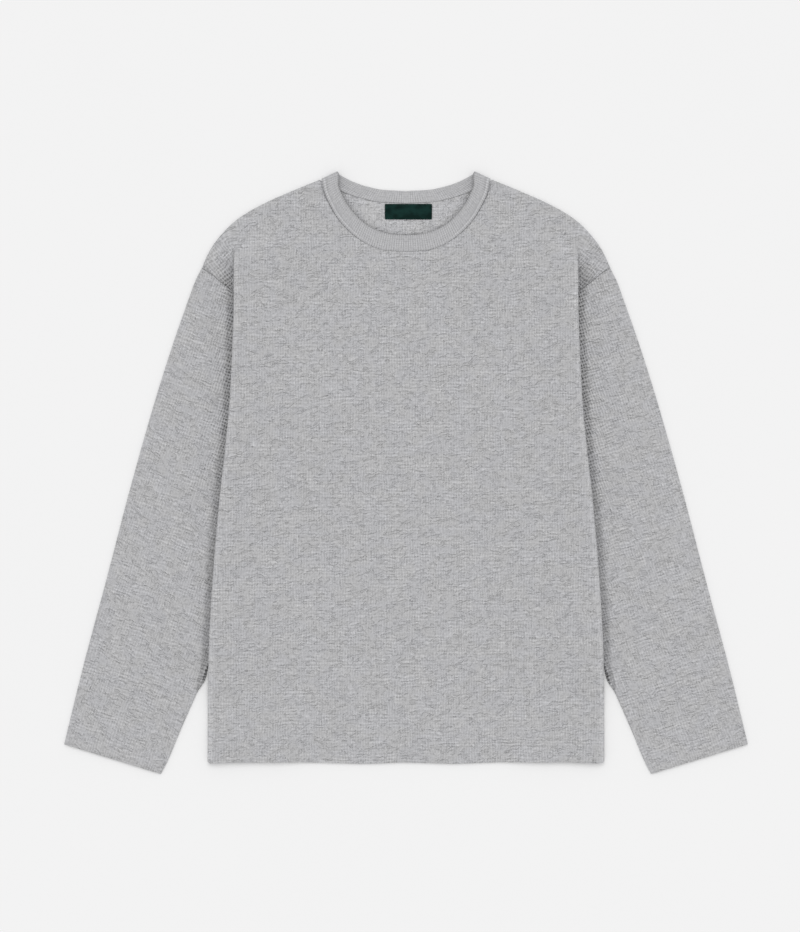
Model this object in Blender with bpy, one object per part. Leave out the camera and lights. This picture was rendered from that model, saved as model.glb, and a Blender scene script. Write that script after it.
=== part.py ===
"""A waffle-knit thermal top, laid flat on its back with both sides folded under.

X runs across the garment, +Y towards the neck and +Z up from the surface that it lies on.
The origin is the centre of its outline, on that surface. Sizes below are in millimetres
and the meshes are in metres. The right half (+X) is worked out, and the left mirrors it.

The body is a pair of panels, front over back, that share one middle sheet half-way
between them. Each row of that sheet, from the centre line outwards, has up to five
stretches: the top run to the outer fold, the bend there, the under run back towards
the centre, the bend at the inner fold, and the return run out to the armhole seam.
"""

from collections import namedtuple
from math import ceil, cos, hypot, pi, sin

import bpy
import numpy as np

MM = 0.001

# Cloth
CLOTH = 1.2  # wall of the waffle knit
RIB = 1.8  # wall of the doubled rib of the neckband
RIB_GAP = 0.5  # inside the neckband where it turns over
LABEL_CLOTH = 1.0
SEAM = 0.3  # between pieces at a seam, and between layers that lie on each other
SEAM_OFFSET = 1.3 * SEAM  # where a seam bends between its points
PAIR = 2 * CLOTH + SEAM  # front and back together
STEP = PAIR + SEAM  # from one pair to the next one that lies on it
FLOOR = PAIR / 2  # middle sheet of a pair that lies on the surface
BEND = STEP / 2  # radius of the middle sheet at the inner fold, which is pressed flat
SOFT_BEND = 5.5  # and at the outer fold, which stands up as a soft roll
HEM_BEND = 2.0  # down to the hem, where it is pressed flatter
ROLL = BEND + PAIR / 2  # reach of the inner fold past its bend's middle
LOFT_WIDTH = 50.0  # the roll lifts the top run over this length

Place = namedtuple("Place", "x y")

# Outlines of the right half, from above
SHOULDER = [
    Place(103.2, 350.9),
    Place(118.0, 345.0),
    Place(132.6, 339.0),
    Place(172.8, 321.0),
    Place(202.8, 303.0),
    Place(221.4, 285.0),
    Place(234.6, 267.0),
    Place(244.8, 245.4),
]
ARMHOLE = [
    Place(244.8, 245.4),
    Place(236.6, 241.0),
    Place(223.2, 229.8),
    Place(206.3, 216.4),
    Place(189.0, 185.0),
    Place(171.0, 145.0),
    Place(131.2, 51.0),
]
FOLD = [  # the body's visible side edge
    Place(206.2, 347.4),
    Place(206.0, 225.0),
    Place(210.5, 96.6),
    Place(216.4, 30.0),
    Place(223.6, -35.0),
    Place(231.4, -128.0),
    Place(236.0, -210.0),
    Place(237.4, -280.0),
    Place(237.7, -349.2),
]
INNER_FOLD = [Place(206.2, 271.0), Place(127.2, 51.0)]
SIDE_SEAM = [Place(127.2, 51.0), Place(174.0, -349.2)]
FRONT_NECK = [
    Place(0.0, 264.8),
    Place(22.8, 266.2),
    Place(38.4, 270.2),
    Place(54.2, 278.5),
    Place(68.4, 289.6),
    Place(81.2, 303.4),
    Place(91.4, 319.9),
    Place(98.8, 335.0),
    Place(103.2, 350.9),
]
BACK_NECK = [
    Place(0.0, 322.6),
    Place(33.6, 324.6),
    Place(45.6, 326.8),
    Place(60.6, 330.8),
    Place(78.0, 336.8),
    Place(90.0, 342.2),
    Place(103.2, 350.9),
]
FRONT_OPENING = [  # free edge of the neckband's front
    Place(0.0, 284.5),
    Place(19.2, 286.2),
    Place(36.0, 291.2),
    Place(49.2, 298.6),
    Place(60.7, 309.6),
    Place(69.6, 321.0),
    Place(76.8, 333.7),
    Place(82.0, 348.5),
    Place(82.3, 361.2),
]
BACK_OPENING = [  # free edge of the neckband's back
    Place(0.0, 338.2),
    Place(28.2, 339.6),
    Place(47.5, 343.5),
    Place(60.6, 348.2),
    Place(72.4, 354.5),
    Place(82.3, 361.2),
]
SLEEVE_OUTER = [
    Place(244.8, 245.4),
    Place(252.0, 231.0),
    Place(265.2, 195.0),
    Place(277.8, 159.0),
    Place(300.6, 87.0),
    Place(331.2, -21.0),
    Place(359.4, -129.0),
    Place(388.2, -237.0),
    Place(409.9, -325.5),
]
SLEEVE_INNER = [
    Place(131.5, 51.0),
    Place(184.0, -90.0),
    Place(236.8, -231.0),
    Place(241.0, -248.5),
    Place(250.4, -263.5),
    Place(255.6, -275.0),
    Place(270.6, -309.0),
    Place(285.6, -345.0),
    Place(293.8, -361.1),
]
BAND_FOLD = Place(100.5, 350.4)  # sewn end of the line where the neckband turns over
BAND_LIFT = 3.0  # how far the front's free edge stands up, there
BAND_LIFT_MIDDLE = 0.9  # and in the middle

# Label
LABEL_CENTRE = Place(2.9, 312.8)
LABEL_WIDTH, LABEL_DEPTH, LABEL_CORNER = 56.4, 18.4, 1.2

# How the layers are stacked
HEM = -349.2
UNDERARM = 51.0
FOLD_STARTS, FOLD_FULL = 283.0, 243.0  # the outer fold opens from a soft step to a full turn
OPENING_ROWS = [293.0, FOLD_STARTS, 274.0, 267.0, 260.0, 253.0]  # Y of the rows where it opens
ARMHOLE_ROWS = [ARMHOLE[0].y, 237.0, 229.0, ARMHOLE[3].y]  # and where the sleeve's seam bends
UNROLLED = 36.0  # here the inner fold has opened out into the side seam
SLEEVE_CLEARS = -231.0  # the sleeve comes out from under the body
SLOPE = 55.0  # a layer comes down over this length where what lies under it ends
SLEEVE_MARGIN, SEAM_MARGIN = 22.0, 14.0  # and starts to this far inside that edge
SETTLE = 0.8  # how fast, past the sleeve, the fold settles onto the surface
SOFT_ABOVE, PRESSED_BELOW = -205.0, -285.0  # the roll flattens between these

# Grid
JOIN = 200.0  # below this the rows are level
LEVEL_ROWS = 21.0
UNROLLING_ROWS = 3  # from the underarm to where the inner fold has opened out
BEND_STEP, SOFT_BEND_STEP = pi / 5, pi / 7
COLUMN = 12.7
OUTER_COLUMNS = 8
NECK_COLUMNS = 10
BAND_PER_COLUMN, BAND_ACROSS, BAND_TURN = 2, 3, 6
SLEEVE_RINGS, SLEEVE_WRAP = 22, 4

COLOURS = {  # linear base colours
    "waffle": (0.42, 0.42, 0.425),
    "rib": (0.44, 0.44, 0.445),
    "label": (0.010, 0.027, 0.022),
}


def smooth_step(t):
    t = np.clip(t, 0.0, 1.0)
    return t * t * (3 - 2 * t)


def smooth_curve(knots, values, at):
    """The value at `at` of a curve through the knots that never overshoots them."""
    order = np.argsort(knots)
    knots, values = np.asarray(knots, float)[order], np.asarray(values, float)[order]
    width = np.diff(knots)
    rise = np.diff(values) / width
    slope = np.concatenate([rise[:1], np.zeros(len(rise) - 1), rise[-1:]])
    before, after = rise[:-1], rise[1:]
    steady = before * after > 0
    mean = 2 * before[steady] * after[steady] / (before[steady] + after[steady])
    slope[1:-1][steady] = mean
    at = np.clip(at, knots[0], knots[-1])
    k = np.clip(np.searchsorted(knots, at) - 1, 0, len(width) - 1)
    t = (at - knots[k]) / width[k]
    return (
        (2 * t**3 - 3 * t**2 + 1) * values[k]
        + (t**3 - 2 * t**2 + t) * width[k] * slope[k]
        + (3 * t**2 - 2 * t**3) * values[k + 1]
        + (t**3 - t**2) * width[k] * slope[k + 1]
    )


def across_at(outline, y):
    """X of an outline where it passes y."""
    return smooth_curve([p.y for p in outline], [p.x for p in outline], y)


def height_at(outline, x):
    """Y of an outline where it passes x."""
    return smooth_curve([p.x for p in outline], [p.y for p in outline], x)


def spread(outline, count):
    """count + 1 points along an outline, evenly spaced by length."""
    places = np.array(outline, float)
    run = np.concatenate([[0], np.cumsum(np.hypot(*np.diff(places, axis=0).T))])
    at = np.linspace(0, run[-1], count + 1)
    return np.stack([smooth_curve(run, places[:, axis], at) for axis in (0, 1)], axis=1)


# The folded middle sheet


def roll_radius(y):
    """Radius of the middle sheet at the outer fold."""
    soft = smooth_step((y - PRESSED_BELOW) / (SOFT_ABOVE - PRESSED_BELOW))
    return HEM_BEND + (SOFT_BEND - HEM_BEND) * soft


def loft(y):
    """How far the roll lifts the top run, beyond a fold that is pressed flat."""
    return 2 * (roll_radius(y) - BEND)


def top_end(y):
    """X where the top run ends and the outer bend begins."""
    return across_at(FOLD, y) - roll_radius(y) - PAIR / 2


def body_inner(y):
    """X of the innermost cloth under the top run."""
    return across_at(INNER_FOLD if y > UNDERARM else SIDE_SEAM, y)


def support_inner(y):
    """X of the innermost cloth under the under run: the return run, and below it the sleeve."""
    if y > UNDERARM:
        return body_inner(y)
    settling = SETTLE * max(0.0, SLEEVE_CLEARS - y)
    return across_at(SLEEVE_INNER, y) - (SLEEVE_INNER[0].x - INNER_FOLD[1].x) + settling


def resting(x, edge, margin):
    """1 over a layer whose inner edge is given, and 0 well inside it."""
    return smooth_step((x - (edge - margin - SLOPE)) / SLOPE)


def turn(y):
    """Angle of the outer bend."""
    return pi * smooth_step((FOLD_STARTS - y) / (FOLD_STARTS - FOLD_FULL))


def under_width(y):
    """Length of the straight stretch between the two bends."""
    return max(0.0, top_end(y) - body_inner(y) - ROLL)


def fold_drop(y):
    """How far the two bends bring the sheet down."""
    return (roll_radius(y) + BEND) * (1 - cos(turn(y))) + under_width(y) * sin(turn(y))


def under_height(x, y):
    support = resting(x, support_inner(y), SLEEVE_MARGIN)
    return FLOOR + STEP * support


def top_height(x, y):
    margin = SLEEVE_MARGIN if y > UNDERARM else SEAM_MARGIN
    lift = STEP * resting(x, body_inner(y), margin)
    lift = lift + STEP * resting(x, support_inner(y), SLEEVE_MARGIN)
    lift = lift + loft(y) * smooth_step((x - top_end(y) + LOFT_WIDTH) / LOFT_WIDTH)
    share = fold_drop(y) / (2 * STEP + loft(y)) if y > UNDERARM else 1.0
    return FLOOR + share * lift


def slope_normal(height, x, y, side):
    """Normal of a run's front side: up for side 1, down for side -1."""
    reach = 0.5
    rise = (height(x + reach, y) - height(x - reach, y)) / (2 * reach)
    length = hypot(1, rise)
    return -side * rise / length, side / length


Spot = namedtuple("Spot", "x y z nx nz key")


def bend(start, first, last, radius, step):
    """The spots of a bend that turns from angle first to angle last below level."""
    sense = 1 if last > first else -1
    parts = max(1, round(abs(last - first) / step))
    centre_x = start.x - sense * radius * sin(first)
    centre_z = start.z - sense * radius * cos(first)
    spots = []
    for k in range(1, parts + 1):
        angle = first + (last - first) * k / parts
        x = centre_x + sense * radius * sin(angle)
        z = centre_z + sense * radius * cos(angle)
        spots.append(Spot(x, start.y, z, sin(angle), cos(angle), k / parts))
    return spots


def under_run(start, y, angle, width):
    """The spots between the two bends, at the same columns as the top run above."""
    if width <= 0:
        return []
    keys = [*range(1, ceil(width / COLUMN)), width / COLUMN]
    spots = []
    for key in keys:
        x = start.x + key * COLUMN * cos(angle)
        z = start.z - key * COLUMN * sin(angle)
        nx, nz = sin(angle), cos(angle)
        if angle == pi:
            inner = COLUMN * ceil(key)
            columns = [start.x - inner, start.x - inner + COLUMN]
            heights = [under_height(column, y) for column in columns]
            z = float(np.interp(x, columns, heights))
            nx, nz = slope_normal(under_height, x, y, -1)
        spots.append(Spot(x, y, z, nx, nz, key))
    return spots


def folded_row(y, top_places):
    """The five stretches of one row. Each starts with the last spot of the one before."""
    angle = turn(y)
    top = []
    for key, place in enumerate(top_places):
        nx, nz = slope_normal(top_height, place[0], y, 1)
        top.append(Spot(place[0], place[1], float(top_height(place[0], y)), nx, nz, key))
    stretches = [top]

    def go_on(spots):
        stretches.append([stretches[-1][-1]._replace(key=0)] + spots)

    if angle == 0:
        stretches += [[top[-1]._replace(key=0)]] * 3
    else:
        go_on(bend(top[-1], 0, angle, roll_radius(y), SOFT_BEND_STEP))
        go_on(under_run(stretches[-1][-1], y, angle, under_end_width(y)))
        inner = angle * (1 - smooth_step((UNDERARM - y) / (UNDERARM - UNROLLED)))
        start = stretches[-1][-1]
        go_on(bend(start, angle, angle - inner, BEND, BEND_STEP) if inner > 0 else [])
    start = stretches[-1][-1]
    length = row_end(y) - start.x if y >= UNDERARM else 0.0
    parts = ceil(length / COLUMN) if length > SEAM else 0
    ends = [k / parts for k in range(1, parts + 1)]
    go_on([start._replace(x=start.x + length * t, nx=0.0, nz=1.0, key=t) for t in ends])
    return stretches


def under_end_width(y):
    """Length of the under run, which below the underarm ends at the side seam."""
    width = under_width(y)
    opened = smooth_step((UNDERARM - y) / (UNDERARM - UNROLLED))
    return width + opened * ROLL


def row_end(y):
    """X of the shoulder edge or the armhole seam, where a row ends."""
    return across_at(SHOULDER if y > ARMHOLE[0].y else ARMHOLE, y)


def upper_levels():
    """Y, at the fold's column, of the rows from the shoulder edge to where they lie level."""
    return [height_at(SHOULDER, top_end(JOIN)), *OPENING_ROWS, *ARMHOLE_ROWS, JOIN]


def lower_levels():
    """Y of the level rows, with more of them where the inner fold opens out."""
    opening = np.linspace(UNDERARM, UNROLLED, UNROLLING_ROWS + 1)
    above = np.linspace(JOIN, UNDERARM, round((JOIN - UNDERARM) / LEVEL_ROWS) + 1)
    below = np.linspace(UNROLLED, HEM, round((UNROLLED - HEM) / LEVEL_ROWS) + 1)
    return [*above[1:], *opening[1:], *below[1:]]


def top_columns(y):
    """X of the top run's columns: even ones over the chest, and fixed ones near the fold."""
    end = top_end(y)
    inner = end - OUTER_COLUMNS * COLUMN
    chest = np.linspace(0, inner, NECK_COLUMNS + 1)
    return np.concatenate([chest, inner + COLUMN * np.arange(1, OUTER_COLUMNS + 1)])


def panel_rows(neck):
    """The rows of the right half, from the neck and shoulder down to the hem."""
    levels = upper_levels()
    edge = top_columns(levels[0])[NECK_COLUMNS + 1 :]
    outline = np.concatenate(
        [spread(neck, NECK_COLUMNS), np.stack([edge, height_at(SHOULDER, edge)], axis=1)]
    )
    outline[-1, 1] = levels[0]
    columns = top_columns(JOIN)
    join = np.stack([columns, np.full(len(columns), JOIN)], axis=1)
    rows = []
    for y in levels:
        t = (levels[0] - y) / (levels[0] - JOIN)
        rows.append(folded_row(y, outline + (join - outline) * t))
    for y in lower_levels():
        columns = top_columns(y)
        rows.append(folded_row(y, np.stack([columns, np.full(len(columns), y)], axis=1)))
    return rows


# Closed walls


def zip_rows(upper, lower, upper_keys, lower_keys, upper_first):
    """Triangles between two strips of vertices, stepping along whichever key is behind."""
    triangles = []
    i = j = 0
    while i < len(upper) - 1 or j < len(lower) - 1:
        up = upper_keys[i + 1] if i < len(upper) - 1 else float("inf")
        down = lower_keys[j + 1] if j < len(lower) - 1 else float("inf")
        if up < down or (up == down and upper_first):
            triangles.append((upper[i], lower[j], upper[i + 1]))
            i += 1
        else:
            triangles.append((upper[i], lower[j], lower[j + 1]))
            j += 1
    return triangles


def half_sheet(rows):
    """Spots, with their normals, and triangles of the right half."""
    spots, strips = [], []
    for row in rows:
        strip = []
        for stretch in row:
            start = [strip[-1][0][-1]] if strip else []
            fresh = stretch[len(start) :]
            first = len(spots)
            spots += fresh
            indices = start + list(range(first, first + len(fresh)))
            strip.append((indices, [spot.key for spot in stretch]))
        strips.append(strip)
    triangles = []
    for upper, lower in zip(strips, strips[1:]):
        for part, (above, below) in enumerate(zip(upper, lower)):
            upper_first = part == 2  # the under run comes back, so its quads split the other way
            triangles += zip_rows(above[0], below[0], above[1], below[1], upper_first)
    return spots, triangles


def whole_sheet(rows):
    """Points, normals and triangles of both halves, joined along the centre line."""
    spots, triangles = half_sheet(rows)
    points = np.array([(s.x, s.y, s.z) for s in spots])
    normals = np.array([(s.nx, 0.0, s.nz) for s in spots])
    mirror = np.arange(len(spots))
    away = points[:, 0] > 0
    mirror[away] = len(spots) + np.arange(away.sum())
    flip = np.array([-1.0, 1.0, 1.0])
    points = np.concatenate([points, points[away] * flip])
    normals = np.concatenate([normals, normals[away] * flip])
    triangles = np.array(triangles)
    return points, normals, np.concatenate([triangles, mirror[triangles][:, ::-1]])


def new_object(name, points, faces, material):
    mesh = bpy.data.meshes.new(name)
    mesh.from_pydata((np.asarray(points) * MM).tolist(), [], [list(map(int, f)) for f in faces])
    mesh.update()
    mesh.materials.append(material)
    made = bpy.data.objects.new(name, mesh)
    bpy.context.scene.collection.objects.link(made)
    return made


def closed_wall(name, points, normals, triangles, near, far, material):
    """The wall between two distances, along the normals, from a sheet of triangles."""
    edges = {(a, b) for t in triangles for a, b in zip(t, np.roll(t, -1))}
    border = [(a, b) for a, b in edges if (b, a) not in edges]
    count = len(points)
    faces = [tuple(t) for t in triangles]
    faces += [tuple(v + count for v in t[::-1]) for t in triangles]
    faces += [(b, a, a + count, b + count) for a, b in sorted(border)]
    walls = np.concatenate([points + far * normals, points + near * normals])
    return new_object(name, walls, faces, material)


def panel(name, neck, near, far, material):
    return closed_wall(name, *whole_sheet(panel_rows(neck)), near, far, material)


def grid_faces(rows, columns, rows_close, columns_close):
    """Quads between the points of a grid that closes on itself in the directions given."""
    faces = []
    for r in range(rows if rows_close else rows - 1):
        for c in range(columns if columns_close else columns - 1):
            r1, c1 = (r + 1) % rows, (c + 1) % columns
            quad = (r * columns + c, r1 * columns + c, r1 * columns + c1, r * columns + c1)
            faces.append(quad)
    return faces


# Sleeves


def armhole_points():
    """Where the body's rows end along the armhole, moved out by the seam's gap."""
    levels = [y for y in [*upper_levels(), *lower_levels()] if UNDERARM <= y <= ARMHOLE[0].y]
    points = np.array([(row_end(y), y) for y in levels])
    along = np.gradient(points, axis=0)
    outward = np.stack([-along[:, 1], along[:, 0]], axis=1) / np.hypot(*along.T)[:, None]
    return points + outward * SEAM_OFFSET


def sleeve_rings():
    """The flat stretch of each ring, from the armhole to the cuff, and its direction."""
    seam = armhole_points()
    outer, inner = spread(SLEEVE_OUTER, SLEEVE_RINGS), spread(SLEEVE_INNER, SLEEVE_RINGS)
    outer += (seam[0] - outer[0]) * np.linspace(1, 0, SLEEVE_RINGS + 1)[:, None]
    inner += (seam[-1] - inner[0]) * np.linspace(1, 0, SLEEVE_RINGS + 1)[:, None]
    bow = seam - np.linspace(seam[0], seam[-1], len(seam))
    rings = []
    for k, (start, end) in enumerate(zip(outer, inner)):
        across = (end - start) / np.hypot(*(end - start))
        flat = np.linspace(start + across * FLOOR, end - across * FLOOR, len(seam))
        rings.append((flat + bow * (1 - k / SLEEVE_RINGS) ** 2, across))
    return rings


def sleeve_section(flat, across, offset):
    """Points of one ring, offset outwards from the middle of the sleeve's wall."""
    radius = (CLOTH + SEAM) / 2 + offset
    ring = [(x, y, FLOOR + radius) for x, y in flat]
    for k in range(1, SLEEVE_WRAP):
        angle = pi * k / SLEEVE_WRAP
        x, y = flat[-1] + across * radius * sin(angle)
        ring.append((x, y, FLOOR + radius * cos(angle)))
    ring += [(x, y, FLOOR - radius) for x, y in flat[::-1]]
    for k in range(1, SLEEVE_WRAP):
        angle = pi * k / SLEEVE_WRAP
        x, y = flat[0] - across * radius * sin(angle)
        ring.append((x, y, FLOOR - radius * cos(angle)))
    return ring


def sleeve(name, side, material):
    """A flattened tube, open at the armhole and at the cuff."""
    outside = np.array([sleeve_section(*ring, CLOTH / 2) for ring in sleeve_rings()])
    inside = np.array([sleeve_section(*ring, -CLOTH / 2) for ring in sleeve_rings()])
    rings, around = outside.shape[:2]
    skin = [quad[::-1] for quad in grid_faces(rings, around, False, True)]
    count = rings * around
    faces = skin + [tuple(v + count for v in f[::-1]) for f in skin]
    last = (rings - 1) * around
    for c in range(around):
        c1 = (c + 1) % around
        faces.append((c1, c, c + count, c1 + count))
        faces.append((last + c, last + c1, last + c1 + count, last + c + count))
    points = np.concatenate([outside.reshape(-1, 3), inside.reshape(-1, 3)])
    points[:, 0] *= side
    if side < 0:
        faces = [f[::-1] for f in faces]
    return new_object(name, points, faces, material)


# Neckband


def band_edges(neck, opening):
    """Sewn and free edge of the band's right half, from the centre to the shoulder fold.

    Towards the fold the edges draw in, so that the turn there ends at the outline.
    """
    corners = spread(neck, NECK_COLUMNS)
    steps = np.arange(NECK_COLUMNS * BAND_PER_COLUMN + 1) / BAND_PER_COLUMN
    columns = np.arange(NECK_COLUMNS + 1)
    sewn = np.stack([np.interp(steps, columns, corners[:, axis]) for axis in (0, 1)], axis=1)
    free = spread(opening, len(steps) - 1)
    towards = free - sewn
    sewn += towards * (SEAM_OFFSET / np.hypot(*towards.T))[:, None]
    fold = free[-1] - BAND_FOLD
    outward = np.array([fold[1], -fold[0]]) / np.hypot(*fold)
    near_fold = np.linspace(0, 1, len(steps))[:, None] ** 4
    sewn += near_fold * (BAND_FOLD - sewn[-1])
    free -= near_fold * outward * (RIB + (RIB_GAP + BAND_LIFT) / 2)
    return sewn, free, outward


def band_half():
    """Sewn edge, free edge and normal, from the front's centre to the back's.

    The edges are those of the band's middle sheet. The front's free edge stands up, so the
    turn at the shoulder is a cone that is wider there than at the sewn edge.
    """
    back_sewn, back_free, outward = band_edges(BACK_NECK, BACK_OPENING)
    front_sewn, front_free, _ = band_edges(FRONT_NECK, FRONT_OPENING)
    up = np.array([0.0, 0.0, 1.0])
    half = []
    for k, (sewn, free) in enumerate(zip(front_sewn, front_free)):
        near_fold = smooth_step(k / (len(front_sewn) - 1))
        low = (CLOTH + SEAM) * (1 - near_fold) + (RIB + RIB_GAP) * near_fold + RIB / 2
        lift = BAND_LIFT_MIDDLE + (BAND_LIFT - BAND_LIFT_MIDDLE) * near_fold
        half.append((np.array([*sewn, low]), np.array([*free, low + lift]), up))
    radii = [(RIB + RIB_GAP) / 2, (RIB + RIB_GAP + BAND_LIFT) / 2]
    for k in range(1, BAND_TURN):
        angle = pi * k / BAND_TURN
        ends = []
        for edge, radius in zip((front_sewn[-1], front_free[-1]), radii):
            place = edge + outward * radius * sin(angle)
            ends.append(np.array([*place, RIB / 2 + radius * (1 + cos(angle))]))
        normal = np.array([*(outward * sin(angle)), cos(angle)])
        half.append((*ends, normal))
    for sewn, free in zip(back_sewn[::-1], back_free[::-1]):
        half.append((np.array([*sewn, RIB / 2]), np.array([*free, RIB / 2]), -up))
    return half


def neckband(material):
    """A flattened ring: the front over the back, turned over at both shoulders."""
    half = band_half()
    flip = np.array([-1.0, 1.0, 1.0])
    ring = half + [tuple(part * flip for part in row) for row in half[-2:0:-1]]

    points = []
    across = np.linspace(0, 1, BAND_ACROSS)
    for sewn, free, normal in ring:
        line = [sewn + (free - sewn) * t for t in across]
        outside = [p + normal * RIB / 2 for p in line]
        inside = [p - normal * RIB / 2 for p in reversed(line)]
        points += outside + inside
    faces = grid_faces(len(ring), 2 * BAND_ACROSS, True, True)
    return new_object("neckband", points, faces, material)


# Label


def label(material):
    """A flat woven label on the back panel, just below the neckband seam."""
    corner_parts = 3
    centres = [(1, 1, 0), (-1, 1, pi / 2), (-1, -1, pi), (1, -1, 3 * pi / 2)]
    outline = []
    for side_x, side_y, first in centres:
        x = LABEL_CENTRE.x + side_x * (LABEL_WIDTH / 2 - LABEL_CORNER)
        y = LABEL_CENTRE.y + side_y * (LABEL_DEPTH / 2 - LABEL_CORNER)
        for k in range(corner_parts + 1):
            angle = first + pi / 2 * k / corner_parts
            outline.append((x + LABEL_CORNER * cos(angle), y + LABEL_CORNER * sin(angle)))
    low, count = CLOTH + SEAM, len(outline)
    points = [(x, y, low) for x, y in outline]
    points += [(x, y, low + LABEL_CLOTH) for x, y in outline]
    faces = [tuple(reversed(range(count))), tuple(range(count, 2 * count))]
    for k in range(count):
        after = (k + 1) % count
        faces.append((k, after, after + count, k + count))
    return new_object("label", points, faces, material)


def cloth_material(name):
    material = bpy.data.materials.new(name)
    material.use_nodes = True
    shader = material.node_tree.nodes["Principled BSDF"]
    shader.inputs["Base Color"].default_value = (*COLOURS[name], 1.0)
    shader.inputs["Roughness"].default_value = 0.95
    shader.inputs["Metallic"].default_value = 0.0
    return material


def clear_scene():
    for found in list(bpy.data.objects):
        bpy.data.objects.remove(found, do_unlink=True)


def make_top():
    waffle, rib = cloth_material("waffle"), cloth_material("rib")
    panel("front", FRONT_NECK, SEAM / 2, SEAM / 2 + CLOTH, waffle)
    panel("back", BACK_NECK, -SEAM / 2 - CLOTH, -SEAM / 2, waffle)
    sleeve("sleeve_right", 1, waffle)
    sleeve("sleeve_left", -1, waffle)
    neckband(rib)
    label(cloth_material("label"))


clear_scene()
make_top()
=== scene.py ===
"""The thermal top's look: waffle-knit cloth, a ribbed neckband, a woven label and the studio.

Sizes are in millimetres and the meshes in metres, in the frame of the CAD model. The cloth
pieces repeat the CAD model's sizes and folds on a finer grid, with rounded edges, seams,
creases and ribs. The knit itself is bump from the materials, on a UV map, "cloth", that
follows each cut piece in metres.
"""

from collections import namedtuple
from math import ceil, cos, pi, radians, sin

import bpy
import numpy as np
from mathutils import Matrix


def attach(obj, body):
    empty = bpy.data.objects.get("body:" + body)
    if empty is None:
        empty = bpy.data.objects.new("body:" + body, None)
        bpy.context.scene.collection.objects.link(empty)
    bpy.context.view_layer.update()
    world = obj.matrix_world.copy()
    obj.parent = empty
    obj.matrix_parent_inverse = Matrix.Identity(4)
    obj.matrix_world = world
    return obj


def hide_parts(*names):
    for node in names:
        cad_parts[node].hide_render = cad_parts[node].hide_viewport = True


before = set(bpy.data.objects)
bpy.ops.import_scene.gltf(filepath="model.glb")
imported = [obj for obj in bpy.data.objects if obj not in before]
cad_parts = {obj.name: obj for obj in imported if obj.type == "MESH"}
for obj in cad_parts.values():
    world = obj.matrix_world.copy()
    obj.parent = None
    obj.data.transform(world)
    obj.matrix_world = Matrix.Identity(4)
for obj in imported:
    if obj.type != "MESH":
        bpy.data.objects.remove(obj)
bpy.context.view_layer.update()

MM = 0.001

# Cloth
CLOTH = 1.2  # wall of the waffle knit
RIB = 1.8  # wall of the doubled rib of the neckband
RIB_GAP = 0.5  # inside the neckband where it turns over
LABEL_CLOTH = 1.0
SEAM = 0.3  # between pieces at a seam, and between layers that lie on each other
SEAM_OFFSET = 1.3 * SEAM
PAIR = 2 * CLOTH + SEAM  # front and back together
STEP = PAIR + SEAM  # from one pair to the next one that lies on it
FLOOR = PAIR / 2  # middle sheet of a pair that lies on the surface
BEND = STEP / 2  # radius of the middle sheet at the inner fold, which is pressed flat
SOFT_BEND = 5.5  # and at the outer fold, which stands up as a soft roll
HEM_BEND = 2.0  # down to the hem, where it is pressed flatter
ROLL = BEND + PAIR / 2  # reach of the inner fold past its bend's middle
LOFT_WIDTH = 50.0  # the roll lifts the top run over this length
SEAM_BULGE = 0.13  # how far a sewn edge rounds out
EDGE_BULGE = 0.35  # and a free one

Place = namedtuple("Place", "x y")


def line_through(*pairs):
    """An outline from pairs of x and y."""
    return [Place(*pair) for pair in pairs]


# Outlines of the right half, from above
SHOULDER = line_through(
    (103.2, 350.9), (118.0, 345.0), (132.6, 339.0), (172.8, 321.0), (202.8, 303.0), (221.4, 285.0),
    (234.6, 267.0), (244.8, 245.4),
)
ARMHOLE = line_through(
    (244.8, 245.4), (236.6, 241.0), (223.2, 229.8), (206.3, 216.4), (189.0, 185.0), (171.0, 145.0),
    (131.2, 51.0),
)
FOLD = line_through(  # the body's visible side edge
    (206.2, 347.4), (206.0, 225.0), (210.5, 96.6), (216.4, 30.0), (223.6, -35.0), (231.4, -128.0),
    (236.0, -210.0), (237.4, -280.0), (237.7, -349.2),
)
INNER_FOLD = line_through((206.2, 271.0), (127.2, 51.0))
SIDE_SEAM = line_through((127.2, 51.0), (174.0, -349.2))
FRONT_NECK = line_through(
    (0.0, 264.8), (22.8, 266.2), (38.4, 270.2), (54.2, 278.5), (68.4, 289.6), (81.2, 303.4),
    (91.4, 319.9), (98.8, 335.0), (103.2, 350.9),
)
BACK_NECK = line_through(
    (0.0, 322.6), (33.6, 324.6), (45.6, 326.8), (60.6, 330.8), (78.0, 336.8), (90.0, 342.2),
    (103.2, 350.9),
)
FRONT_OPENING = line_through(  # free edge of the neckband's front
    (0.0, 284.5), (19.2, 286.2), (36.0, 291.2), (49.2, 298.6), (60.7, 309.6), (69.6, 321.0),
    (76.8, 333.7), (82.0, 348.5), (82.3, 361.2),
)
BACK_OPENING = line_through(  # free edge of the neckband's back
    (0.0, 337.6), (28.2, 339.2), (47.5, 343.5), (60.6, 348.2), (72.4, 354.5), (82.3, 361.2),
)
SLEEVE_OUTER = line_through(
    (244.8, 245.4), (252.0, 231.0), (265.2, 195.0), (277.8, 159.0), (300.6, 87.0), (331.2, -21.0),
    (359.4, -129.0), (388.2, -237.0), (409.9, -325.5),
)
# Its points at y -248.5 and -263.5 carry the sleeve into the gap beside the body's side, where it is
# painted dark as shade
SLEEVE_INNER = line_through(
    (131.5, 51.0), (184.0, -90.0), (236.8, -231.0), (241.0, -248.5), (250.4, -263.5),
    (255.6, -275.0), (270.6, -309.0), (285.6, -345.0), (293.8, -361.1),
)
BAND_FOLD = Place(100.5, 350.4)  # sewn end of the line where the neckband turns over
BAND_LIFT = 4.2  # how far the front's free edge stands up, there
BAND_LIFT_MIDDLE = 1.5  # and in the middle

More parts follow.
